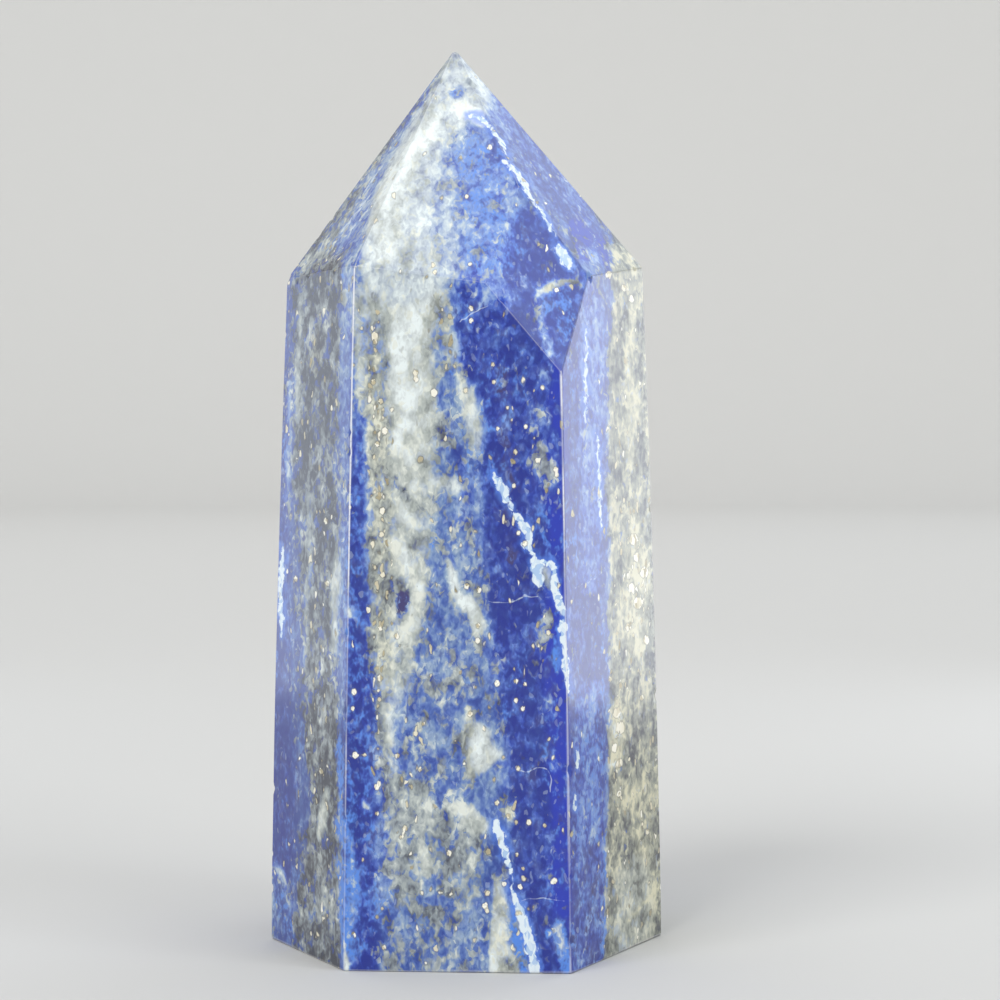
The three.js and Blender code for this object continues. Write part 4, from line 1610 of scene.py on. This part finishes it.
    def pyrite_group(self) -> bpy.types.NodeTree:
        """Small gold grains, thicker where the share is high, and the large crystals, with dark rims.

        Returns:
            The group. Grain is 1 on a grain, Rim around it, and Tint differs from grain to grain.
        """
        bench, given, made = group(
            "Pyrite grains",
            {"Place": "Vector", "Share": "Float", "Crystal": "Float", "Size": "Float"},
            {"Grain": "Float", "Rim": "Float", "Tint": "Float"},
        )
        take = given.outputs
        place = bench.vector("MULTIPLY", take["Place"], self.GRAIN_SQUASH)
        cell = bench.add("ShaderNodeTexVoronoi", voronoi_dimensions="3D")
        bench.feed(cell, Vector=place, Scale=bench.math("DIVIDE", 1.0, take["Size"]))
        chance, bigness, tint = list(bench.parts(cell.outputs["Color"]))[:3]
        there = bench.math("LESS_THAN", chance, take["Share"])
        least, more = self.GRAIN_RADIUS
        reach = bench.blend(bench.product(bigness, bigness), more, least)
        inside = bench.math("SUBTRACT", reach, cell.outputs["Distance"])
        small = bench.product(bench.step(inside, *self.GRAIN_STEP), there)
        edge = bench.product(bench.step(inside, *self.RIM_STEP), there)
        ragged = bench.blend(tint, self.CRYSTAL_RAGGED, take["Crystal"])
        large = bench.step(ragged, *self.CRYSTAL_STEP)
        bench.put(made.inputs["Grain"], bench.math("MAXIMUM", small, large))
        bench.put(made.inputs["Rim"], bench.math("MAXIMUM", edge, bench.step(ragged, *self.CRYSTAL_RIM)))
        bench.put(made.inputs["Tint"], bench.blend(large, self.CRYSTAL_GLINT, tint))
        return bench.tree

    @staticmethod
    def weigh(bench: Bench, start: Value, grain: dict[str, Value], **weights: float) -> Value:
        """Adds centred speckle, each kind by its own weight, to a value.

        Args:
            bench: where to work.
            start: the value.
            grain: the speckle, each kind lying about 0.
            weights: weight of each kind.

        Returns:
            The sum.
        """
        total = start
        for name, weight in weights.items():
            total = bench.blend(grain[name], weight, total)
        return total


OUTSIDE = -1.0  # the depth of a place outside every large crystal, in mm


class Polish(Enum):
    """How a face of the stone is finished."""

    MIRROR = "polished faces"
    SAWN = "sawn foot"


@dataclass(frozen=True)
class LapisFinish:
    """The stone's surface."""

    polish: Polish
    gloss: float  # roughness of the blue
    grey_gloss: float  # and of the grey rock
    relief: float  # depth of the fine relief
    bend_of_light: float = 1.5  # refractive index
    stretch: float = 1.5  # how far the grain is drawn out along the layers
    grain_size: float = 0.46  # spacing of the pyrite grains and of the pale flecks
    fleck_share: float = 0.22  # share of the places with a fleck
    fleck_shift: Triple = (31.0, 17.0, 53.0)  # moves the flecks off the grains
    fleck_cover: Limits = (0.05, 0.36)  # least and most cover of a fleck
    # colour of the pyrite from grain to grain: its pale brass, and at the pale end a painted glint
    gold_and_glint: Stops = stops(
        (0.0, 158, 148, 120), (0.35, 196, 186, 156), (0.65, 230, 223, 198), (0.95, 250, 247, 234)
    )
    metal: float = 0.2  # how metallic it is
    rim_shade_cover: float = 0.5  # cover of a grain's dark rim, a painted shade
    pale_arris_cover: float = 0.9  # and of a pale arris: wear whitening with a painted highlight
    gold_rough: float = 0.18  # added to the roughness by pyrite
    grain_rough: float = 0.04  # by the finest grain in all
    worn_rough: float = 0.16  # and by a worn arris
    fleck: Tone = Tone(176, 190, 212)
    # dark rim round each pyrite grain: painted shade
    rim_shade: Tone = Tone(96, 92, 82)
    vein: Tone = Tone(230, 242, 248)  # at its palest
    vein_shade: Tone = Tone(176, 204, 236)  # and at its darkest
    halo: Tone = Tone(84, 128, 222)  # blue that bounds a vein
    wear_and_highlight: Tone = Tone(244, 246, 252)  # a pale arris: wear whitening with a painted highlight
    pale_arris_step: Step = (-0.7, 0.3)  # fine grain between which an arris turns pale
    vein_shake: float = 0.16  # how far each kind of grain shakes a vein's border in all
    crack_shake: float = 0.3  # how much of that reaches a hair crack
    halo_shake: float = 0.5  # how far grain shakes the halo's border in all
    halo_step: Step = (-0.6, 0.1, 0.0, 0.7)  # depths over which the halo comes in, and its cover
    vein_step: Step = (-0.07, 0.07, 0.0, 0.96)  # the same for a vein
    crack_step: Step = (-0.05, 0.05, 0.0, 0.5)  # and for a hair crack
    shade_step: Step = (0.1, 0.6)  # grain between which a vein turns pale
    pit_size: float = 0.24  # size of the pits left by the polish
    pit_depth: Limits = (0.4, 1.2)  # share of relief in the blue, and what rock adds
    saw_pitch: float = 0.9  # closeness of the saw's marks
    saw_wander: float = 2.0  # how far they leave their line

    def material(self, groups: GrainGroups) -> bpy.types.Material:
        """The material.

        Args:
            groups: the shared node groups.

        Returns:
            A material for the stone's mesh.
        """
        made = bpy.data.materials.new("Lapis " + self.polish.value)
        made.use_nodes = True
        bench = Bench(made.node_tree)
        shader = made.node_tree.nodes["Principled BSDF"]
        shader.inputs["IOR"].default_value = self.bend_of_light
        place = bench.vector("SCALE", bench.add("ShaderNodeTexCoord").outputs["Object"], scale=1.0 / MM)
        speckle = bench.use(groups.speckle, Place=place, Stretch=self.stretch)
        grain = {name: speckle.outputs[name] for name in GrainGroups.SPECKLE}
        shares = {m.value.title(): bench.share(m.value) for m in Mineral if m is not Mineral.PYRITE}
        colour = bench.use(groups.colour, **grain, **shares)
        tone = self.with_lines(bench, colour.outputs["Color"], grain)
        pyrite = bench.use(
            groups.pyrite, Place=speckle.outputs["Bent"], Share=bench.share(Mineral.PYRITE.value),
            Crystal=bench.share("crystal"), Size=self.grain_size,
        )
        tone = self.with_pyrite(bench, tone, speckle.outputs["Bent"], groups, pyrite.outputs)
        # Pale arrises: wear whitening with a painted highlight, faint towards the foot.
        worn = bench.product(bench.share("arris"), bench.step(grain["Grain"], *self.pale_arris_step))
        tone = bench.mix(bench.product(worn, self.pale_arris_cover), tone, self.wear_and_highlight)
        bench.put(shader.inputs["Base Color"], tone)
        bench.put(shader.inputs["Metallic"], bench.product(pyrite.outputs["Grain"], self.metal))
        rough = bench.blend(colour.outputs["Grey"], self.grey_gloss - self.gloss, self.gloss)
        rough = bench.blend(pyrite.outputs["Grain"], self.gold_rough, rough)
        rough = bench.blend(bench.centred(grain["Grain"]), self.grain_rough, rough)
        bench.put(shader.inputs["Roughness"], bench.blend(worn, self.worn_rough, rough, clamp=True))
        bench.put(shader.inputs["Normal"], self.relief_normal(bench, place))
        return made

    def with_pyrite(self, bench: Bench, tone: Value, place: Value, groups: GrainGroups, pyrite: Any) -> Value:
        """Lays pale flecks, which have the form of the pyrite grains, and then the pyrite over a colour.

        Args:
            bench: where to work.
            tone: the colour below.
            place: the shaken place.
            groups: the shared node groups.
            pyrite: outputs of the pyrite's node.

        Returns:
            The colour with them on it.
        """
        flecks = bench.use(
            groups.pyrite, Place=bench.vector("ADD", place, self.fleck_shift), Share=self.fleck_share,
            Crystal=OUTSIDE, Size=self.grain_size,
        ).outputs
        dotted = bench.product(flecks["Grain"], bench.step(flecks["Tint"], 0.0, 1.0, *self.fleck_cover))
        tone = bench.mix(dotted, tone, self.fleck)
        # A dark rim of painted shade round each grain.
        tone = bench.mix(bench.product(pyrite["Rim"], self.rim_shade_cover), tone, self.rim_shade)
        # The pyrite itself: pale brass with a painted glint, brighter on some grains than on others.
        return bench.mix(pyrite["Grain"], tone, bench.ramp(pyrite["Tint"], self.gold_and_glint))

    def with_lines(self, bench: Bench, tone: Value, grain: dict[str, Value]) -> Value:
        """Lays the veins and hair cracks over a colour.

        Args:
            bench: where to work.
            tone: the colour below.
            grain: the speckle.

        Returns:
            The colour with the lines on it.
        """
        shake = bench.product(bench.centred(grain["Mottle"]), self.vein_shake)
        shake = bench.blend(bench.centred(grain["Block"]), self.vein_shake, shake)
        inside = bench.math("ADD", bench.share("vein"), shake)
        cloud = bench.blend(bench.centred(grain["Blotch"]), self.halo_shake, inside)
        tone = bench.mix(bench.step(cloud, *self.halo_step), tone, self.halo)
        body = bench.mix(bench.step(grain["Block"], *self.shade_step), self.vein_shade, self.vein)
        tone = bench.mix(bench.step(inside, *self.vein_step), tone, body)
        thin = bench.blend(shake, self.crack_shake, bench.share("crack"))
        return bench.mix(bench.step(thin, *self.crack_step), tone, body)

    def relief_normal(self, bench: Bench, place: Value) -> Value:
        """The fine relief: pits left by the polish, deeper where the soft rock lies.

        Args:
            bench: where to work.
            place: coordinates in mm.

        Returns:
            A normal.
        """
        in_blue, in_rock = self.pit_depth
        softness = bench.blend(bench.share(Mineral.MATRIX.value), in_rock, in_blue)
        height = bench.product(bench.noise(place, self.pit_size, detail=1.0), softness)
        if self.polish is Polish.SAWN:
            lines = bench.add("ShaderNodeTexWave", wave_type="BANDS", bands_direction="X")
            bench.feed(lines, Vector=place, Scale=self.saw_pitch, Distortion=self.saw_wander)
            height = bench.math("ADD", height, lines.outputs["Fac"])
        bump = bench.add("ShaderNodeBump")
        bench.feed(bump, Strength=1.0, Distance=self.relief * MM, Height=height)
        return bump.outputs["Normal"]


# ------------------------------------------------------------------ the stone


@dataclass
class LapisTower:
    """The stone: its form, its minerals and its finishes."""

    form: CutForm = field(default_factory=CutForm)
    minerals: Composition = field(default_factory=Composition)
    faces: LapisFinish = LapisFinish(Polish.MIRROR, gloss=0.1, grey_gloss=0.2, relief=0.004)
    foot: LapisFinish = LapisFinish(Polish.SAWN, gloss=0.42, grey_gloss=0.55, relief=0.02)

    def build(self, node: bpy.types.Object) -> bpy.types.Object:
        """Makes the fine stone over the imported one.

        Args:
            node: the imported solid.

        Returns:
            The new piece.
        """
        self.form.read(node)
        skin = StoneMesh(self.form, self.minerals.marks())
        skin.lay()
        worn, arris = skin.wear_down()
        mesh = bpy.data.meshes.new(PIECE)
        mesh.from_pydata((worn * MM).tolist(), [], skin.triangles)
        mesh.polygons.foreach_set("use_smooth", [True] * len(mesh.polygons))
        feet = [self.form.faces[home].kind is Kind.FOOT for home in skin.homes]
        mesh.polygons.foreach_set("material_index", [int(f) for f in feet])
        self.store(mesh, skin.points, arris)
        mesh.update()
        log.info("%d faces cut, %d triangles laid", len(self.form.faces), len(mesh.polygons))
        piece = bpy.data.objects.new(PIECE, mesh)
        bpy.context.scene.collection.objects.link(piece)
        return piece

    def store(self, mesh: bpy.types.Mesh, points: Array, arris: Array) -> None:
        """Writes the mineral map on the mesh.

        Args:
            mesh: the stone's mesh.
            points: its points before wear, in mm.
            arris: how much each lies on an arris.
        """
        numbers = {m.value: share for m, share in self.minerals.shares(points).items()}
        numbers["arris"] = arris
        numbers["crystal"] = self.minerals.inside_crystals(points)
        numbers["vein"] = self.minerals.inside_lines(points, self.minerals.vein_lines)
        numbers["crack"] = self.minerals.inside_lines(points, self.minerals.crack_lines)
        for name, values in numbers.items():
            stored = mesh.attributes.new(name, "FLOAT", "POINT")
            stored.data.foreach_set("value", values.astype(np.float32))

    def dress(self, piece: bpy.types.Object, groups: GrainGroups) -> None:
        """Gives the piece its finishes."""
        piece.data.materials.append(self.faces.material(groups))
        piece.data.materials.append(self.foot.material(groups))


# ------------------------------------------------------------------ the studio


@dataclass(frozen=True)
class SoftBox:
    """A soft light."""

    name: str
    place: Triple  # in metres
    size: tuple[float, float]  # width and height in metres
    power: float  # in watts
    aim: Triple = (0.0, 0.0, 0.045)  # the point that it faces
    tint: Triple = (1.0, 1.0, 1.0)

    def hang(self) -> None:
        """Makes the light."""
        lamp = bpy.data.lights.new(self.name, "AREA")
        lamp.shape = "RECTANGLE"
        lamp.size, lamp.size_y = self.size
        lamp.energy = self.power
        lamp.color = self.tint
        item = bpy.data.objects.new(self.name, lamp)
        item.location = self.place
        toward = Vector(self.aim) - Vector(self.place)
        item.rotation_euler = toward.to_track_quat("-Z", "Y").to_euler()
        item.visible_camera = False
        bpy.context.scene.collection.objects.link(item)


@dataclass
class Studio:
    """Floor, world, lights and camera."""

    floor_radius: float = 1.5  # in metres, like all lengths here
    floor_bend: float = 0.5  # radius of the curve up into the wall
    wall_top: float = 1.1
    bend_steps: int = 16  # parts of that curve
    round_steps: int = 96  # parts of the floor's round
    floor_tone: Tone = Tone(212, 212, 210)
    floor_shine: float = 0.2  # how strongly it mirrors
    floor_rough: float = 0.8  # and how bluntly
    cool: Triple = (0.76, 0.86, 1.0)  # bluer lights
    mild: Triple = (0.86, 0.91, 1.0)  # less blue ones
    sky_seen: float = 0.66  # brightness of the backdrop as it is seen
    sky_light: float = 0.3  # and as it lights the stone
    eye: Triple = (0.003326, -0.261789, 0.05128)  # where the camera stands
    tilt: float = 1.542  # how far it looks down, in degrees
    lens: float = 93.6  # in mm
    sensor: float = 36.0  # its width in mm
    near: float = 0.01  # nothing nearer is drawn
    bounces: int = 3  # how often light is followed
    soft_bounces: tuple[int, int] = (2, 2)  # off blunt and off shiny surfaces

    def lights(self) -> list[SoftBox]:
        """The soft boxes, and the small cards whose reflections lie on the side and crown faces.

        Returns:
            The lights.
        """
        return [
            SoftBox("key", (-0.92, -1.36, 1.31), (1.1, 1.1), 22.0),
            SoftBox("fill", (1.3, -1.1, 0.85), (1.1, 1.1), 8.6),
            SoftBox("overhead", (0.0, 0.1, 1.7), (1.5, 1.3), 7.0),
            SoftBox("left card", (-0.245, 0.193, 0.062), (0.12, 0.124), 0.056, (0.0, 0.0, 0.05), self.cool),
            SoftBox("right card", (0.238, 0.191, 0.062), (0.12, 0.124), 0.138, (0.0, 0.0, 0.05), self.mild),
            SoftBox("crown card right", (0.8, 1.1, 0.9), (0.5, 0.45), 1.3, (0.0, 0.0, 0.08), self.cool),
            SoftBox("crown card front", (0.0, -0.5, 1.65), (0.4, 0.36), 0.7, (0.0, 0.0, 0.08)),
            SoftBox("backdrop light", (0.0, 0.9, 1.5), (1.6, 0.5), 9.0, (0.0, 2.0, 0.3)),
            SoftBox("small face card", (0.98, -0.46, 1.1), (0.36, 0.36), 1.2, (0.0, 0.0, 0.07), self.cool),
        ]

    def build(self) -> None:
        """Sets everything up around the stone."""
        self.lay_floor()
        self.set_world()
        for box in self.lights():
            box.hang()
        self.set_camera()
        bpy.context.scene.view_settings.view_transform = "Standard"
        self.limit_bounces()

    def limit_bounces(self) -> None:
        """Keeps the light paths short, which an opaque stone allows."""
        cycles = bpy.context.scene.cycles
        cycles.max_bounces = self.bounces
        cycles.diffuse_bounces, cycles.glossy_bounces = self.soft_bounces
        cycles.caustics_reflective = False
        cycles.caustics_refractive = False

    def lay_floor(self) -> None:
        """A pale floor that curves up into a low wall all round."""
        bend = [math.radians(90.0 * i / self.bend_steps) for i in range(self.bend_steps + 1)]
        outline = [
            (self.floor_radius + self.floor_bend * math.sin(a), self.floor_bend * (1.0 - math.cos(a)))
            for a in bend
        ]
        outline.append((self.floor_radius + self.floor_bend, self.wall_top))
        around = [2.0 * math.pi * i / self.round_steps for i in range(self.round_steps)]
        points = [(r * math.cos(a), r * math.sin(a), z) for r, z in outline for a in around]
        count = len(around)
        quads = []
        for low in range(0, count * (len(outline) - 1), count):
            for i, j in zip(range(count), [*range(1, count), 0]):
                quads.append((low + count + i, low + count + j, low + j, low + i))
        mesh = bpy.data.meshes.new("studio_floor")
        mesh.from_pydata(points, [], [tuple(range(count)), *quads])
        mesh.polygons.foreach_set("use_smooth", [False] + [True] * len(quads))
        floor = bpy.data.objects.new("studio_floor", mesh)
        bpy.context.scene.collection.objects.link(floor)
        made = bpy.data.materials.new("Floor")
        made.use_nodes = True
        shader = made.node_tree.nodes["Principled BSDF"]
        shader.inputs["Specular IOR Level"].default_value = self.floor_shine
        shader.inputs["Roughness"].default_value = self.floor_rough
        shader.inputs["Base Color"].default_value = self.floor_tone.linear()
        mesh.materials.append(made)

    def set_world(self) -> None:
        """A pale backdrop that lights the stone only gently."""
        world = bpy.data.worlds.new("Studio")
        bpy.context.scene.world = world
        world.use_nodes = True
        bench = Bench(world.node_tree)
        back = world.node_tree.nodes["Background"]
        back.inputs["Color"].default_value = (1.0, 1.0, 1.0, 1.0)
        seen = bench.add("ShaderNodeLightPath").outputs["Is Camera Ray"]
        strength = bench.blend(seen, self.sky_seen - self.sky_light, self.sky_light)
        bench.put(back.inputs["Strength"], strength)

    def set_camera(self) -> None:
        """The camera, level with the middle of the stone."""
        data = bpy.data.cameras.new("Camera")
        data.lens = self.lens
        data.sensor_width = self.sensor
        data.clip_start = self.near
        camera = bpy.data.objects.new("Camera", data)
        camera.location = self.eye
        camera.rotation_euler = (math.radians(90.0 - self.tilt), 0.0, 0.0)
        bpy.context.scene.collection.objects.link(camera)
        bpy.context.scene.camera = camera


def main() -> None:
    """Builds the stone and the studio."""
    logging.basicConfig(level=logging.INFO, format="%(name)s: %(message)s")
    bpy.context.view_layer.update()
    groups = GrainGroups()
    groups.build()
    tower = LapisTower()
    stone = tower.build(frame["nodes"][NODE])
    tower.dress(stone, groups)
    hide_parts(NODE)
    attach(stone, BODY)
    log.info("stone: %s stands for %s", stone.name, NODE)
    Studio().build()
    log.info("studio: floor, lights and camera")


if __name__ == "__main__":
    main()
